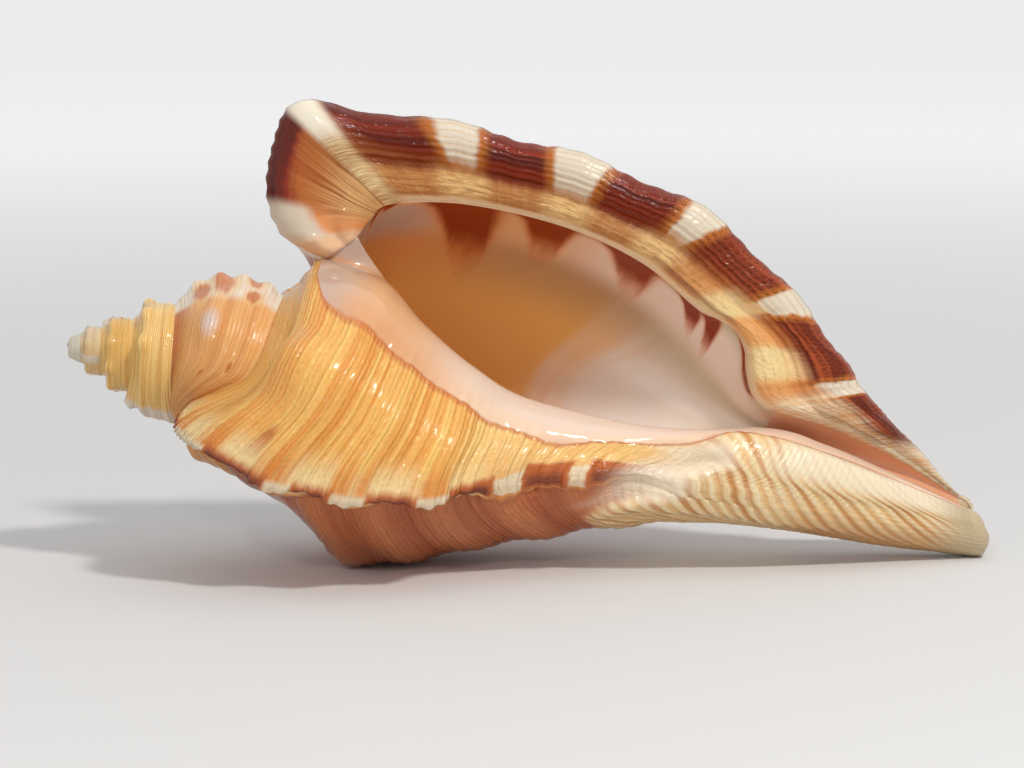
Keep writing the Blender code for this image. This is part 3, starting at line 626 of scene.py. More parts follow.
def cover_whorls(skin, s, last, spire, outer, upper):
    """The spire and the last whorl; returns the last whorl's rows of point numbers."""
    per_turn = 3 * ROWS_THIRD
    up = skin.grid(upper)
    out = skin.grid(outer)
    worn = np.linalg.norm(upper - upper[0, 0], axis=-1) < APEX_POINT
    for i in range(len(up)):
        up[i, 0] = up[0, 0] if i < per_turn else up[i - per_turn, EAR]
    up[worn] = up[0, 0]
    for i in range(len(last)):
        k = len(up) + i - per_turn
        out[i, 0] = up[k, EAR] if k < len(up) else out[0, EAR]
    band = s[:EAR + 1]
    turns = np.append(spire, 0.0)[:, None]
    older = marks_of((len(up) + 1, EAR + 1), knot=band, turn=turns / 360, inset=turns * 0.3 - 160,
                     crest=white_crest(turns), bars=spot_field(turns, band, [WORN_KNOB]),
                     blotch=spot_field(turns, band, SPOTS))
    skin.cover(np.vstack([up, out[:1, :EAR + 1]]), older, OUTSIDE)

    angle = last[:, None]
    behind = np.where(angle < SKIRT_PHI, SKIRT_PHI - angle, 3 * (angle - SKIRT_PHI))
    bars = np.where(angle < 240, bar_field(s, SKIRT_BARS), bar_field(s, LIP_BARS))
    whorl = marks_of(outer.shape[:2], knot=s, turn=angle / 360, inset=(angle - 360) * 0.45,
                     glaze=(callus_edge(s) - angle) * (s > 1.99) - 9.0 * (s <= 1.99),
                     rim=MM_PER_DEGREE * np.minimum(behind, 360 - angle), bars=bars,
                     blotch=spot_field(angle, s, SPOTS), fold=s - table(CANAL_FOLD, last)[:, None])
    skin.cover(out, whorl, OUTSIDE)
    return out


def cover_lip(skin, s, out, face, inner):
    """The lip's front face and the inner lip; returns the rows of each."""
    share = np.linspace(0, 1, ROWS_LIP + 1)[:, None]
    front = skin.grid(face)
    side = skin.grid(inner)
    front[0] = out[-1]
    side[0] = out[0, EAR:]
    side[:, 0] = front[:, 0]
    width = np.linalg.norm(face[-1] - face[0], axis=1)
    skin.cover(front, marks_of(face.shape[:2], knot=s, turn=1.0, inset=share * 10, rim=share * width,
                               bars=bar_field(s, LIP_BARS)[None] - 0.1 * share), LIP)
    skin.cover(side, marks_of(inner.shape[:2], knot=s[EAR:], inset=20 - share * 5, glaze=40.0), MOUTH)
    return front, side


def cover_hollow(skin, s, front, side, face, inner):
    """The mouth's cavity, closed at its deep end, and the groove; returns the groove's rows."""
    back, rows_o, rows_i, groove = hollow(s, face, inner)
    m = MOUTH_ROWS
    co = skin.grid(rows_o)
    ci = skin.grid(rows_i)
    gr = skin.grid(groove)
    co[0] = front[-1, :CANAL + 1]
    ci[0] = side[-1, :CANAL - EAR + 1]
    gr[0] = front[-1, CANAL:]
    gr[-1] = side[-1, CANAL - EAR:]
    ci[:, 0] = co[:, 0]
    ci[m:, -1] = co[m:, -1]
    gr[:m + 1, 0] = co[:m + 1, -1]
    gr[m:, 0] = ci[:m + 1, -1][::-1]
    deep = back[:, None]
    skin.cover(co, marks_of(rows_o.shape[:2], knot=s[:CANAL + 1], turn=1 - deep / 360, inset=10 + deep * 0.4,
                            glaze=40.0, blotch=blotch_field(s[None, :CANAL + 1], deep)), MOUTH)
    skin.cover(ci, marks_of(rows_i.shape[:2], knot=s[EAR:CANAL + 1], turn=-deep / 360,
                            inset=15 + deep * 0.4, glaze=40.0), MOUTH)
    skin.cover(gr, marks_of(groove.shape[:2], knot=s[CANAL:], inset=14.0, glaze=40.0), MOUTH)
    end = list(co[-1]) + list(ci[-1][::-1])[1:-1]
    middle = skin.point(np.mean([skin.points[v] for v in end], axis=0))
    dark = marks_of((3,), knot=3.0, inset=90.0, glaze=40.0)
    for k, v in enumerate(end):
        skin.face([v, end[k - 1], middle], dark, MOUTH)
    return gr


def cover_tip(skin, out, front, side, groove):
    """The canal's blunt tip."""
    ring = list(out[:, -1]) + list(front[1:, -1]) + list(groove[1:, -1]) + list(side[::-1, -1])[1:-1]
    ring = [v for k, v in enumerate(ring) if v != ring[k - 1]]
    middle = np.mean([skin.points[v] for v in out[3:-3, -1]], axis=0)
    tip = marks_of((4,), knot=11.0, turn=0.25, fold=3.0)
    loops = [ring]
    for reach, spread in TIP_RINGS:
        loop = []
        for v in ring:
            p = middle + (skin.points[v] - middle) * [0, spread, spread]
            p[0] = skin.points[v][0] + TIP_NOSE * reach
            loop.append(skin.point(p))
        loops.append(loop)
    for one, two in zip(loops, loops[1:]):
        for k, v in enumerate(one):
            skin.face([v, one[k - 1], two[k - 1], two[k]], tip, OUTSIDE)
    nose = skin.point(middle + [TIP_NOSE, 0, 0])
    for k, v in enumerate(loops[-1]):
        skin.face([v, loops[-1][k - 1], nose], tip[:3], OUTSIDE)


def shell_skin():
    """The whole shell's points and faces, with what each corner says of its place."""
    s, last, spire, outer, upper = shell_parts()
    face = lip_face(outer, s, ROWS_LIP)
    inner = inner_face(outer, face, s, ROWS_LIP)
    skin = Skin()
    out = cover_whorls(skin, s, last, spire, outer, upper)
    front, side = cover_lip(skin, s, out, face, inner)
    groove = cover_hollow(skin, s, front, side, face, inner)
    cover_tip(skin, out, front, side, groove)
    return skin


def to_frame(p):
    """Lays the shell down on the frame: axis along +X and dipping, mouth toward -Y."""
    dip = np.radians(AXIS_DIP_DEG)
    roll = np.radians(ROLL_DEG)
    x = p[:, 0] * np.cos(dip) + p[:, 1] * np.sin(dip)
    up = -p[:, 0] * np.sin(dip) + p[:, 1] * np.cos(dip)
    y = -p[:, 2] * np.cos(roll) + up * np.sin(roll)
    z = p[:, 2] * np.sin(roll) + up * np.cos(roll)
    points = np.stack([x, y, z], axis=1) + APEX_AT
    points[:, 2] = np.maximum(points[:, 2], 0)
    return points * MM


def shell_mesh(materials):
    skin = shell_skin()
    mesh = bpy.data.meshes.new("shell_outer_and_mouth")
    mesh.from_pydata(to_frame(np.array(skin.points)).tolist(), [], skin.faces)
    marks = np.array(skin.marks)
    for k, name in enumerate(MARKS):
        layer = mesh.attributes.new(name, "FLOAT", "CORNER")
        layer.data.foreach_set("value", marks[:, k].astype(np.float32))
    for material in materials:
        mesh.materials.append(material)
    mesh.polygons.foreach_set("material_index", skin.materials)
    mesh.polygons.foreach_set("use_smooth", [True] * len(mesh.polygons))
    work = bmesh.new()
    work.from_mesh(mesh)
    bmesh.ops.delete(work, geom=[v for v in work.verts if not v.link_faces], context="VERTS")
    bmesh.ops.recalc_face_normals(work, faces=work.faces)
    work.to_mesh(mesh)
    work.free()
    return add_object("shell_outer_and_mouth", mesh)


def tint(red, green, blue):
    """A colour given from 0 to 255 as the eye sees it, in the linear values a shader takes."""
    c = np.array([red, green, blue]) / 255
    c = np.where(c <= 0.04045, c / 12.92, ((c + 0.055) / 1.055)**2.4)
    return (*[float(v) for v in c], 1.0)


class Nodes:
    """Adds shader nodes to one tree and joins them up."""

    def __init__(self, tree):
        self.tree = tree

    def feed(self, node, key, source):
        """Links a socket to an input, or sets a plain value on it."""
        if isinstance(source, bpy.types.NodeSocket):
            self.tree.links.new(source, node.inputs[key])
        else:
            node.inputs[key].default_value = source

    def add(self, kind, inputs, **settings):
        node = self.tree.nodes.new(kind)
        for key, value in settings.items():
            setattr(node, key, value)
        for key, source in inputs.items():
            self.feed(node, key, source)
        return node

    def mark(self, name):
        return self.add("ShaderNodeAttribute", {}, attribute_name=name).outputs["Fac"]

    def math(self, operation, a, b=0.0):
        return self.add("ShaderNodeMath", {0: a, 1: b}, operation=operation).outputs[0]

    def times(self, product, *others):
        for other in others:
            product = self.math("MULTIPLY", product, other)
        return product

    def plus(self, total, *others):
        for other in others:
            total = self.math("ADD", total, other)
        return total

    def less(self, a, b):
        return self.math("SUBTRACT", a, b)

    def rest(self, share):
        """What a share leaves of the whole."""
        return self.less(1.0, share)

    def swing(self, noise, reach):
        """A noise that swings round 0, reach wide in all."""
        return self.times(self.less(noise, 0.5), reach)

    def rise(self, value, low, high, top=1.0):
        """0 below low, top above high, smooth between; low may be the greater."""
        node = self.add("ShaderNodeMapRange", {"Value": value, "From Min": low, "From Max": high,
                                               "To Max": top}, interpolation_type="SMOOTHSTEP")
        return node.outputs["Result"]

    def mix(self, share, a, b):
        node = self.add("ShaderNodeMix", {0: share, 6: a, 7: b}, data_type="RGBA")
        return node.outputs[2]

    def stages(self, value, colour, *later):
        """A colour that changes as a value rises; each later stage is (from, to, colour)."""
        for low, high, following in later:
            colour = self.mix(self.rise(value, low, high), colour, following)
        return colour

    def noise(self, vector, scale, detail=2.0, rough=0.5):
        node = self.add("ShaderNodeTexNoise", {"Vector": vector, "Scale": scale, "Detail": detail,
                                               "Roughness": rough})
        return node.outputs["Fac"]

    def grain(self, a, a_scale, b, b_scale, detail=2.0, rough=0.5, scale=1.0):
        """Noise over two values, each with a scale of its own."""
        place = self.add("ShaderNodeCombineXYZ", {0: self.times(a, a_scale), 1: self.times(b, b_scale)})
        return self.noise(place.outputs[0], scale, detail, rough)

    def wave(self, value):
        """0 to 1 and back for every whole value, highest at the whole numbers."""
        return self.plus(self.times(self.math("COSINE", self.times(value, 2 * np.pi)), 0.5), 0.5)

    def place(self):
        return self.add("ShaderNodeTexCoord", {}).outputs["Object"]

    def group(self, tree, **inputs):
        node = self.add("ShaderNodeGroup", {}, node_tree=tree)
        for name, source in inputs.items():
            self.feed(node, name, source)
        return node.outputs


def shader_group(name, inputs, outputs, fill):
    """A node group that takes numbers; fill(nodes, inputs) returns the sources of its outputs."""
    tree = bpy.data.node_groups.new(name, "ShaderNodeTree")
    for label in inputs:
        tree.interface.new_socket(label, in_out="INPUT", socket_type="NodeSocketFloat")
    for label in outputs:
        kind = "NodeSocketColor" if label == "Colour" else "NodeSocketFloat"
        tree.interface.new_socket(label, in_out="OUTPUT", socket_type=kind)
    start = tree.nodes.new("NodeGroupInput")
    end = tree.nodes.new("NodeGroupOutput")
    for socket, source in zip(end.inputs, fill(Nodes(tree), start.outputs)):
        tree.links.new(source, socket)
    return tree


def fill_threads(n, given):
    """Fine beaded threads that follow the growth of the whorl."""
    knot = given["Knot"]
    along = given["Turn"]
    drift = n.grain(knot, 1.3, along, 3.0)
    thread = n.wave(n.plus(n.times(knot, given["Count"]), n.times(drift, 0.8)))
    streak = n.grain(knot, given["Count"], along, 3.5, 3.0, 0.6, scale=0.55)
    beads = n.grain(knot, 30.0, along, 230.0, 1.0)
    height = n.plus(n.times(thread, n.plus(0.35, n.times(streak, 0.8))), n.times(beads, 1.1))
    return height, thread, streak


def fill_bars(n, given):
    """White bars on the main cords, and the rusty fringe round each."""
    rough = n.grain(given["Knot"], 2.0, given["Inset"], given["Ragged"], 3.0, 0.6, scale=2.2)
    edge = n.plus(given["Bars"], n.swing(rough, 0.12))
    white = n.rise(edge, -0.02, 0.04)
    return white, n.less(n.rise(edge, -0.12, 0.0), white)


def fill_porcelain(n, given):
    """The glaze: lavender white at the back notch, peach, then pale pink toward the canal."""
    knot = given["Knot"]
    inset = given["Inset"]
    place = n.plus(knot, n.swing(n.grain(knot, 1.2, inset, 0.02, scale=2.0), 1.2))
    # the inside: pale under the lip, orange further back, whitish toward the canal
    orange = n.mix(n.rise(inset, 30.0, 60.0), tint(248, 186, 104), tint(236, 150, 72))
    orange = n.mix(n.rise(place, 4.9, 6.3), orange, tint(250, 236, 222))
    under = n.stages(place, tint(222, 154, 96), (2.9, 3.7, tint(188, 146, 106)),
                     (4.8, 6.2, tint(208, 186, 156)))
    deep = n.mix(n.rise(inset, 19.0, 29.0), under, orange)
    # near the edges
    near = n.stages(knot, tint(188, 158, 140), (2.3, 3.1, tint(226, 170, 118)),
                    (3.6, 5.2, tint(236, 210, 190)))
    slit = n.times(n.rise(inset, 14.8, 14.1), n.rise(knot, 7.4, 8.4))
    near = n.mix(slit, near, tint(226, 158, 112))
    outside = n.stages(knot, tint(196, 162, 142), (2.2, 2.9, tint(220, 154, 94)),
                       (3.8, 5.4, tint(244, 208, 176)))
    near = n.mix(n.rise(given["Margin"], 22.0, 5.0), near, outside)
    cloud = n.noise(n.place(), 60.0)
    near = n.mix(n.times(cloud, 0.2), near, tint(250, 230, 216))
    return (n.mix(n.rise(n.math("ABSOLUTE", n.less(inset, 16.0)), 1.5, 5.0), near, deep),)


def finish_shell(n, colour, roughness, specular, coat, height=None, distance=0.0):
    """The shell's own shader: glossy, slightly see-through, with its fine relief."""
    shader = n.tree.nodes["Principled BSDF"]
    if height is not None:
        bumps = n.add("ShaderNodeBump", {"Height": height, "Strength": 1.0, "Distance": distance})
        n.feed(shader, "Normal", bumps.outputs[0])
    n.feed(shader, "Base Color", colour)
    n.feed(shader, "Roughness", roughness)
    for key, value in SHELL_SHADER.items():
        shader.inputs[key].default_value = value
    shader.inputs["Specular IOR Level"].default_value = specular
    shader.inputs["Coat Weight"].default_value = coat


def new_material(name, *marks):
    """A new material, its nodes, and the marks that it reads from the mesh."""
    material = bpy.data.materials.new(name)
    material.use_nodes = True
    n = Nodes(material.node_tree)
    return material, n, {mark: n.mark(mark) for mark in marks}


def whorl_ground(n, at, fine):
    """Cream at the tip of the spire, yellow, orange tan, then golden orange, with paler threads."""
    ground = n.stages(at["turn"], tint(226, 210, 184), (-4.4, -3.3, tint(222, 162, 70)),
                      (-1.6, -0.9, tint(214, 138, 62)), (-0.22, 0.02, tint(232, 146, 50)))
    light = n.stages(at["turn"], tint(244, 236, 220), (-4.4, -3.3, tint(252, 216, 138)),
                     (-1.6, -0.8, tint(236, 176, 104)), (-0.22, 0.02, tint(255, 206, 112)))
    share = n.plus(n.times(fine["Thread"], 0.25), n.rise(fine["Streak"], 0.33, 0.68, 0.75))
    return n.mix(share, ground, light)


def spire_marks(n, at, on_last, streak, colour):
    """Rusty seams, white crests, the worn knob and rusty spots."""
    seam = n.times(n.rise(at["knot"], 0.45, 0.05), n.rest(on_last), n.rise(at["turn"], -1.7, -1.1))
    colour = n.mix(seam, colour, tint(192, 108, 48))
    worn = n.times(n.rise(at["bars"], 0.0, 0.8), n.rest(on_last), 0.75)
    colour = n.mix(worn, colour, tint(214, 198, 192))
    pale = n.mix(n.rise(streak, 0.35, 0.65), tint(228, 206, 174), tint(234, 224, 210))
    colour = n.mix(at["crest"], colour, pale)
    spot = n.plus(at["blotch"], n.swing(streak, 1.4))
    colour = n.mix(n.rise(spot, -0.5, 0.1, 0.5), colour, tint(234, 180, 96))
    return n.mix(n.rise(spot, 0.0, 0.5, 0.85), colour, tint(196, 100, 20))


def behind_skirt(n, at, streak, colour):
    """Deep orange, paler along the cords."""
    back = n.mix(n.wave(at["knot"]), tint(172, 82, 34), tint(200, 116, 66))
    back = n.mix(n.rise(streak, 0.35, 0.7, 0.5), back, tint(212, 132, 78))
    return n.mix(n.rise(at["turn"], 0.335, 0.35), colour, back)


def rims(n, at, bar, streak, colour):
    """Cream between the cords and orange on them, then brown between white bars at the rim."""
    knot, turn_at, rim = at["knot"], at["turn"], at["rim"]
    near = n.rise(n.plus(rim, n.swing(streak, 5.0)), 7.0, 1.5)
    band = n.mix(n.rise(n.wave(knot), 0.3, 0.8), tint(252, 226, 166), tint(224, 134, 44))
    band = n.mix(n.rise(streak, 0.45, 0.7, 0.5), band, tint(252, 232, 184))
    colour = n.mix(n.times(near, 0.8), colour, band)
    roll = n.times(n.rise(knot, 5.0, 5.6), n.rise(turn_at, 0.34, 0.325), n.rise(rim, 1.0, 2.6))
    colour = n.mix(n.times(roll, 0.55), colour, tint(255, 216, 144))
    # how far the brown reaches from the rim: most on the lip, and on the skirt's roll by the canal
    tall = n.plus(1.1, n.rise(knot, 5.1, 5.5, 0.7), n.rise(turn_at, 0.6, 0.9, 3.0),
                  n.times(n.rise(turn_at, 0.6, 0.5), n.rise(knot, 5.6, 6.4), 3.0))
    down = n.plus(rim, n.swing(streak, 1.6))
    body = n.rise(knot, 8.4, 7.6)
    rust = n.times(n.rise(n.less(down, tall), 1.0, -0.6), body)
    edge = n.less(down, n.times(tall, 0.45))
    on_roll = n.rise(knot, 5.6, 6.4)
    crisp = n.times(n.rise(edge, 0.7, -0.5), n.rest(on_roll))
    brown = n.times(n.plus(crisp, n.times(n.rise(edge, 1.5, -1.5), on_roll, 0.8)), body)
    gap = n.rest(bar["White"])
    colour = n.mix(n.times(rust, gap), colour, tint(196, 100, 34))
    colour = n.mix(n.times(brown, gap, n.rest(bar["Fringe"])), colour, tint(116, 42, 16))
    high = n.times(n.rise(n.less(rim, n.times(tall, 0.7)), 0.6, -0.4), body)
    return n.mix(n.times(high, bar["White"], 0.9), colour, tint(240, 222, 190))


def canal_fold(n, at, canal, colour):
    """Cream ridges over orange tan on the fold along the canal, and a pale valley beside it."""
    knot, turn_at, fold_at = at["knot"], at["turn"], at["fold"]
    slant = n.less(knot, n.times(turn_at, CANAL_SLANT))
    drift = n.grain(slant, 1.8, turn_at, 3.0)
    ridge = n.wave(n.plus(n.times(slant, CANAL_CORDS), n.swing(drift, 0.5)))
    hair = n.grain(slant, 34.0, turn_at, 5.0, 3.0, 0.6)
    warmth = n.grain(slant, 3.1, turn_at, 2.0, 1.0)
    fold = n.mix(n.rise(warmth, 0.4, 0.65), tint(208, 144, 76), tint(238, 196, 132))
    fold = n.mix(n.rise(ridge, 0.0, 0.9, 0.85), fold, tint(246, 222, 174))
    fold = n.mix(n.rise(hair, 0.5, 0.75, 0.5), fold, tint(250, 238, 212))
    fold = n.mix(n.rise(hair, 0.48, 0.3, 0.3), fold, tint(196, 130, 66))
    # darker tan on the canal's underside, which faces the floor: partly its own colour, partly painted shade
    low = n.times(n.rise(turn_at, 0.3, 0.42), n.rise(knot, 8.6, 9.4))
    fold = n.mix(n.times(low, 0.6), fold, tint(190, 124, 58))
    groove = n.times(n.rise(turn_at, 0.25, 0.16), n.rise(knot, 8.0, 8.8))
    fold = n.mix(n.times(groove, 0.8), fold, tint(246, 232, 202))
    # a duller, darker tan at the canal's blunt tip: partly its own colour, partly painted shade
    fold = n.mix(n.rise(knot, 10.4, 11.0), fold, tint(196, 176, 140))
    valley = n.times(n.rise(fold_at, -0.55, -0.1), n.rise(turn_at, 0.42, 0.36),
                     n.rise(fold_at, 0.42, 0.12), n.rise(turn_at, 0.1, 0.18), 0.85)
    return n.mix(valley, n.mix(canal, colour, fold), tint(250, 234, 208))


def outside_material(threads, bars, porcelain):
    """The outside of every whorl, with the inner lip's glaze over part of it."""
    material, n, at = new_material("shell outside", *MARKS)
    glaze = at["glaze"]
    fine = n.group(threads, Knot=at["knot"], Turn=at["turn"], Count=12.0)
    bar = n.group(bars, Bars=at["bars"], Knot=at["knot"], Inset=at["inset"], Ragged=0.15)
    streak = fine["Streak"]
    on_last = n.rise(at["turn"], -0.02, 0.03)
    canal = n.times(n.rise(at["fold"], -0.1, 0.12), n.rise(at["turn"], 0.9, 0.75))

    colour = whorl_ground(n, at, fine)
    colour = spire_marks(n, at, on_last, streak, colour)
    colour = behind_skirt(n, at, streak, colour)
    colour = rims(n, at, bar, streak, colour)
    colour = canal_fold(n, at, canal, colour)
    # the glaze that the mouth spreads over the whorl, and a reddish line along its margin: partly its own
    # seam, partly painted shade at the glaze's raised edge
    over = n.rise(n.plus(glaze, n.swing(streak, 1.5)), 0.0, 1.5)
    coat = n.group(porcelain, Knot=at["knot"], Inset=15.0, Margin=glaze)["Colour"]
    margin = n.times(n.rise(glaze, -3.0, -0.5), n.rise(glaze, 2.5, 0.5), 0.55)
    colour = n.mix(margin, n.mix(over, colour, coat), tint(206, 98, 44))

    height = n.times(fine["Height"], n.rest(over), n.rest(n.times(canal, 0.6)),
                     n.plus(0.4, n.times(on_last, 0.6)))
    finish_shell(n, colour, n.plus(0.08, n.times(streak, 0.14)), specular=0.42, coat=0.25,
                 height=height, distance=0.00018)
    return material


def lip_inner_half(n, at, cord, rays, streak, crease):
    """An orange trough, a wrinkled golden ridge, a cream edge, and rusty flecks by the canal."""
    knot, inset = at["knot"], at["inset"]
    ridge = n.mix(cord, tint(196, 132, 72), tint(230, 188, 124))
    ridge = n.mix(n.rise(knot, 4.9, 6.2), ridge, n.mix(cord, tint(236, 168, 100), tint(248, 220, 160)))
    ridge = n.mix(n.rise(rays, 0.45, 0.65, 0.15), ridge, tint(244, 206, 146))
    # painted shade: the golden ridge turns darker brown in the creases between its wrinkles
    golden = n.times(n.rise(inset, 5.8, 6.6), n.rise(inset, 9.3, 8.7), n.rise(knot, 6.4, 5.4))
    ridge = n.mix(n.times(n.rise(crease, 0.58, 0.4), golden, 0.45), ridge, tint(160, 98, 46))
    trough = n.mix(cord, tint(132, 58, 20), tint(196, 126, 70))
    trough = n.mix(n.rise(knot, 4.6, 6.0), trough, n.mix(cord, tint(214, 136, 74), tint(242, 206, 150)))
    trough = n.mix(n.rise(streak, 0.45, 0.7, 0.3), trough, tint(206, 132, 70))
    colour = n.mix(n.rise(n.plus(inset, n.swing(rays, 0.9)), 5.6, 7.0), trough, ridge)
    colour = n.mix(n.rise(inset, 9.0, 9.6), colour, tint(240, 208, 168))
    line = n.times(n.rise(inset, 8.2, 8.6), n.rise(inset, 9.2, 8.8), n.rise(knot, 4.9, 5.3),
                   n.rise(knot, 6.6, 6.2), 0.6)
    colour = n.mix(line, colour, tint(150, 84, 62))
    far = n.mix(n.rise(rays, 0.35, 0.6), tint(234, 182, 126), tint(246, 226, 194))
    return n.mix(n.rise(knot, 7.3, 8.0), colour, far)


def rim_brown(n, knot, streak, lattice):
    """The banded rim's dark brown, redder and with a paler lattice toward the canal."""
    dark = n.mix(n.rise(streak, 0.35, 0.65), tint(86, 20, 4), tint(146, 44, 10))
    dark = n.mix(n.times(lattice, n.rise(knot, 3.8, 4.6), 0.35), dark, tint(170, 76, 32))
    redder = n.mix(n.rise(streak, 0.35, 0.65), tint(112, 36, 12), tint(168, 72, 28))
    return n.mix(n.rise(knot, 4.8, 5.8), dark, redder)


def ear_colour(n, at, rim, dark):
    """Faint rays that darken toward the notch, and a pale cord down from the ear's corner."""
    knot, inset = at["knot"], at["inset"]
    bend = n.times(n.grain(knot, 1.0, inset, 0.12, 1.0, scale=1.6), 0.25)
    curved = n.grain(n.plus(knot, bend), 15.0, inset, 0.1, 3.0, 0.6)
    fan = n.mix(n.rise(curved, 0.3, 0.7), tint(160, 84, 36), tint(190, 116, 58))
    tan = n.mix(n.rise(curved, 0.34, 0.56), tint(140, 84, 40), tint(214, 164, 106))
    fan = n.mix(n.rise(n.plus(inset, n.swing(curved, 4.0)), 3.5, 8.0), fan, tan)
    fan = n.mix(n.rise(knot, 1.05, 0.5), fan, tint(226, 150, 92))
    upper = n.rise(knot, 0.6, 0.85)
    fan = n.mix(n.times(n.rise(rim, 7.0, 3.0), upper, 0.6), fan, tint(170, 84, 32))
    fan = n.mix(n.times(n.rise(rim, 4.6, 2.8), upper), fan, dark)
    pale_low = n.times(n.rise(knot, 0.88, 0.74), n.rise(rim, 6.5, 4.5))
    fan = n.mix(pale_low, fan, tint(214, 198, 178))
    growth = n.grain(inset, 9.0, knot, 1.5)
    corner = n.mix(n.rise(growth, 0.4, 0.6), tint(196, 150, 98), tint(230, 204, 156))
    corner = n.mix(n.rise(rim, 8.0, 4.5), corner, tint(244, 234, 214))
    return n.mix(n.times(n.rise(knot, 1.74, 1.88), n.rise(knot, 2.3, 2.12)), fan, corner)


def lip_material(threads, bars):
    """The lip's front face: banded rim, trough and ridge, and the ear at its back end."""
    material, n, at = new_material("lip", "knot", "inset", "bars", "rim")
    knot, inset = at["knot"], at["inset"]
    bar = n.group(bars, Bars=at["bars"], Knot=knot, Inset=inset, Ragged=0.25)
    # lines along the lip, rays across it, and wrinkles
    along = n.group(threads, Knot=n.times(inset, 0.1), Turn=n.times(knot, 0.1), Count=13.0)
    rays = n.grain(knot, 16.0, inset, 0.12, 3.0, 0.6)
    crease = n.grain(knot, 7.0, inset, 3.2, 3.0, 0.6)
    streak = along["Streak"]
    cord = n.times(n.rise(n.wave(knot), 0.25, 0.85), n.rise(knot, 2.5, 2.8))
    lattice = n.rise(n.times(n.wave(n.times(knot, 14.0)), along["Thread"]), 0.5, 0.9)
    dark = rim_brown(n, knot, streak, lattice)
    colour = lip_inner_half(n, at, cord, rays, streak, crease)

    # the banded rim: brown with rusty fringes between white bars
    rim = n.plus(at["rim"], n.swing(rays, 0.9), n.swing(streak, 1.6))
    tall = n.less(n.plus(3.4, n.rise(knot, 2.0, 2.6, 2.3)), n.rise(knot, 7.2, 8.4, 2.8))
    deep = n.less(rim, tall)
    reach = n.times(n.rise(deep, 2.0, -0.8), n.rise(inset, 7.0, 5.4))
    brown = n.times(reach, n.rest(bar["White"]), n.rise(knot, 9.9, 9.3))
    colour = n.mix(n.times(reach, bar["Fringe"], 0.7), n.mix(brown, colour, dark), tint(208, 126, 48))
    lined = n.mix(n.rise(along["Thread"], 0.0, 0.7), tint(218, 198, 170), tint(228, 216, 196))
    colour = n.mix(n.times(bar["White"], n.rise(deep, 0.8, -1.0)), colour, lined)
    ear = n.rise(knot, 2.3, 2.05)
    colour = n.mix(ear, colour, ear_colour(n, at, rim, dark))
    colour = n.mix(n.rise(knot, 0.5, 0.2), colour, tint(232, 190, 152))

    lines = n.times(along["Height"], n.rest(ear), n.rest(n.times(bar["White"], 0.5)), 0.6)
    ridges = n.times(n.wave(n.times(knot, 18.0)), n.rest(ear), n.rise(knot, 7.4, 6.4), 0.063)
    cells = n.times(lattice, n.rise(knot, 3.6, 4.4), brown)
    wrinkles = n.times(crease, n.rise(inset, 5.8, 6.8), n.rest(ear), 1.6)
    finish_shell(n, colour, n.plus(0.08, n.times(rays, 0.12)), specular=0.24, coat=0.04,
                 height=n.plus(lines, ridges, cells, wrinkles), distance=0.00024)
    return material


def mouth_material(porcelain):
    """The glazed inside: porcelain with dark tongues at the lip."""
    material, n, at = new_material("mouth", "knot", "inset", "blotch")
    glaze = n.group(porcelain, Knot=at["knot"], Inset=at["inset"], Margin=40.0)["Colour"]
    rough = n.grain(at["knot"], 4.0, at["inset"], 0.15, scale=2.0)
    tongue = n.plus(at["blotch"], n.swing(rough, 0.16))
    colour = n.mix(n.rise(tongue, -0.3, 0.3, 0.75), glaze, tint(208, 112, 52))
    colour = n.mix(n.rise(tongue, -0.02, 0.36), colour, tint(138, 40, 10))
    finish_shell(n, colour, n.plus(0.18, n.times(rough, 0.1)), specular=0.3, coat=0.4)
    return material


def add_object(name, data):
    thing = bpy.data.objects.new(name, data)
    bpy.context.scene.collection.objects.link(thing)
    return thing


def pale_floor():
    """A pale floor that, seen from far off, stays as pale as it is near the shell."""
    material, n, _ = new_material("pale floor")
    shader = n.tree.nodes["Principled BSDF"]
    shader.inputs["Base Color"].default_value = (0.72, 0.72, 0.72, 1)
    shader.inputs["Roughness"].default_value = 0.7
    shader.inputs["Emission Color"].default_value = (1.0, 1.0, 1.0, 1)
    away = n.add("ShaderNodeVectorMath", {0: n.place()}, operation="LENGTH").outputs["Value"]
    camera_ray = n.add("ShaderNodeLightPath", {}).outputs["Is Camera Ray"]
    n.feed(shader, "Emission Strength", n.times(camera_ray, n.rise(away, 0.0, 0.9), 0.5))
    mesh = bpy.data.meshes.new("floor")
    corners = [(x * FLOOR_SIZE / 2, y * FLOOR_SIZE / 2, 0) for x, y in ((-1, -1), (1, -1), (1, 1), (-1, 1))]
    mesh.from_pydata(corners, [], [(0, 1, 2, 3)])
    mesh.materials.append(material)
    add_object("floor", mesh)


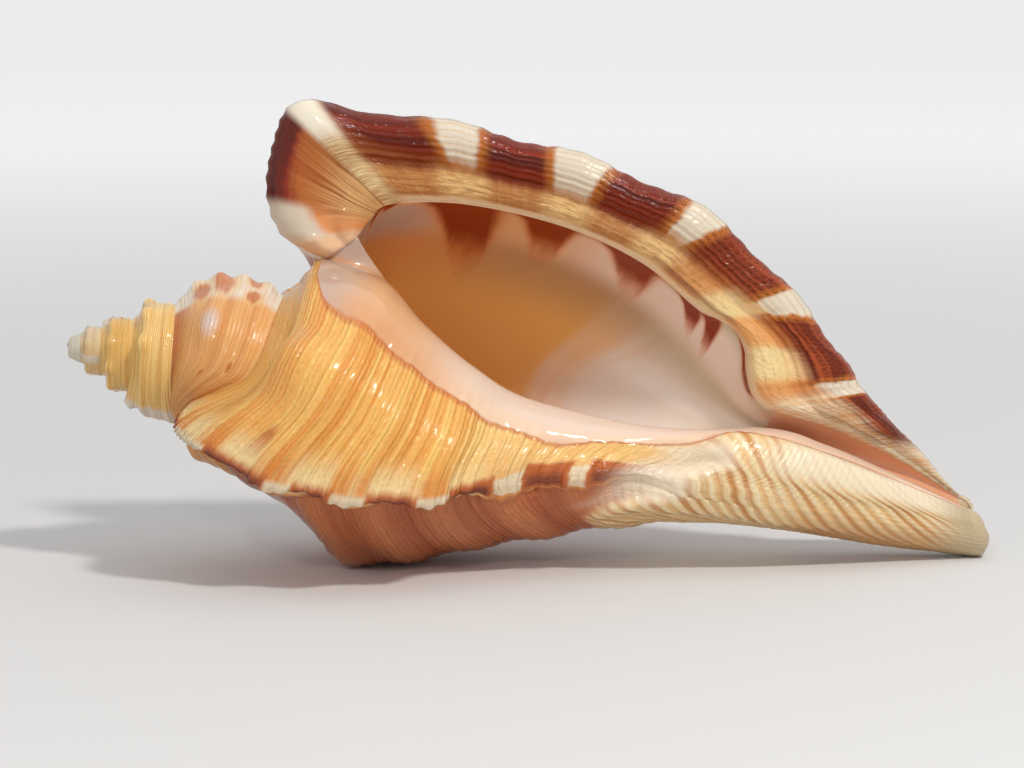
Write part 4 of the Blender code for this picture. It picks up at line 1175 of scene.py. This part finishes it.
def surroundings():
    """Soft even light, which looks white to the camera and in reflections."""
    world = bpy.data.worlds.new("studio")
    bpy.context.scene.world = world
    world.use_nodes = True
    n = Nodes(world.node_tree)
    path = n.add("ShaderNodeLightPath", {}).outputs
    seen = n.math("MAXIMUM", path["Is Camera Ray"], path["Is Transmission Ray"])
    seen = n.math("MAXIMUM", seen, path["Is Glossy Ray"])
    background = world.node_tree.nodes["Background"]
    n.feed(background, "Color", n.mix(seen, (0.36, 0.36, 0.37, 1), (0.8, 0.8, 0.8, 1)))
    background.inputs["Strength"].default_value = 1.0


def soft_lamps():
    for name, at, size, power, colour in LAMPS:
        lamp = bpy.data.lights.new(name, "AREA")
        lamp.shape = "DISK"
        lamp.size = size
        lamp.energy = power
        lamp.color = colour
        thing = add_object(name, lamp)
        thing.location = at
        thing.rotation_euler = (LAMPS_AIM - Vector(at)).to_track_quat("-Z", "Y").to_euler()


def camera():
    """The camera faces the mouth's side, placed from the tip of the spire."""
    data = bpy.data.cameras.new("camera")
    data.lens = CAMERA_LENS
    data.sensor_width = 36.0
    data.clip_start = 0.01
    thing = add_object("camera", data)
    tilt = np.radians(ROLL_DEG)
    right = Vector((1, 0, 0))
    up = Vector((0, np.sin(tilt), np.cos(tilt)))
    toward = Vector((0, -np.cos(tilt), np.sin(tilt)))
    placed = Matrix((right, up, toward)).transposed().to_4x4()
    placed.translation = (Vector(APEX_AT) * MM + right * CAMERA_RIGHT + up * CAMERA_UP
                          + toward * CAMERA_DISTANCE)
    thing.matrix_world = placed
    bpy.context.scene.camera = thing
    bpy.context.scene.view_settings.view_transform = "Standard"


def main():
    threads = shader_group("growth threads", ("Knot", "Turn", "Count"), ("Height", "Thread", "Streak"),
                           fill_threads)
    bars = shader_group("cord bars", ("Bars", "Knot", "Inset", "Ragged"), ("White", "Fringe"), fill_bars)
    porcelain = shader_group("porcelain", ("Knot", "Inset", "Margin"), ("Colour",), fill_porcelain)
    shell = shell_mesh([outside_material(threads, bars, porcelain), lip_material(threads, bars),
                        mouth_material(porcelain)])
    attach(shell, "root")
    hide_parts("triton_shell")
    pale_floor()
    surroundings()
    soft_lamps()
    camera()


main()
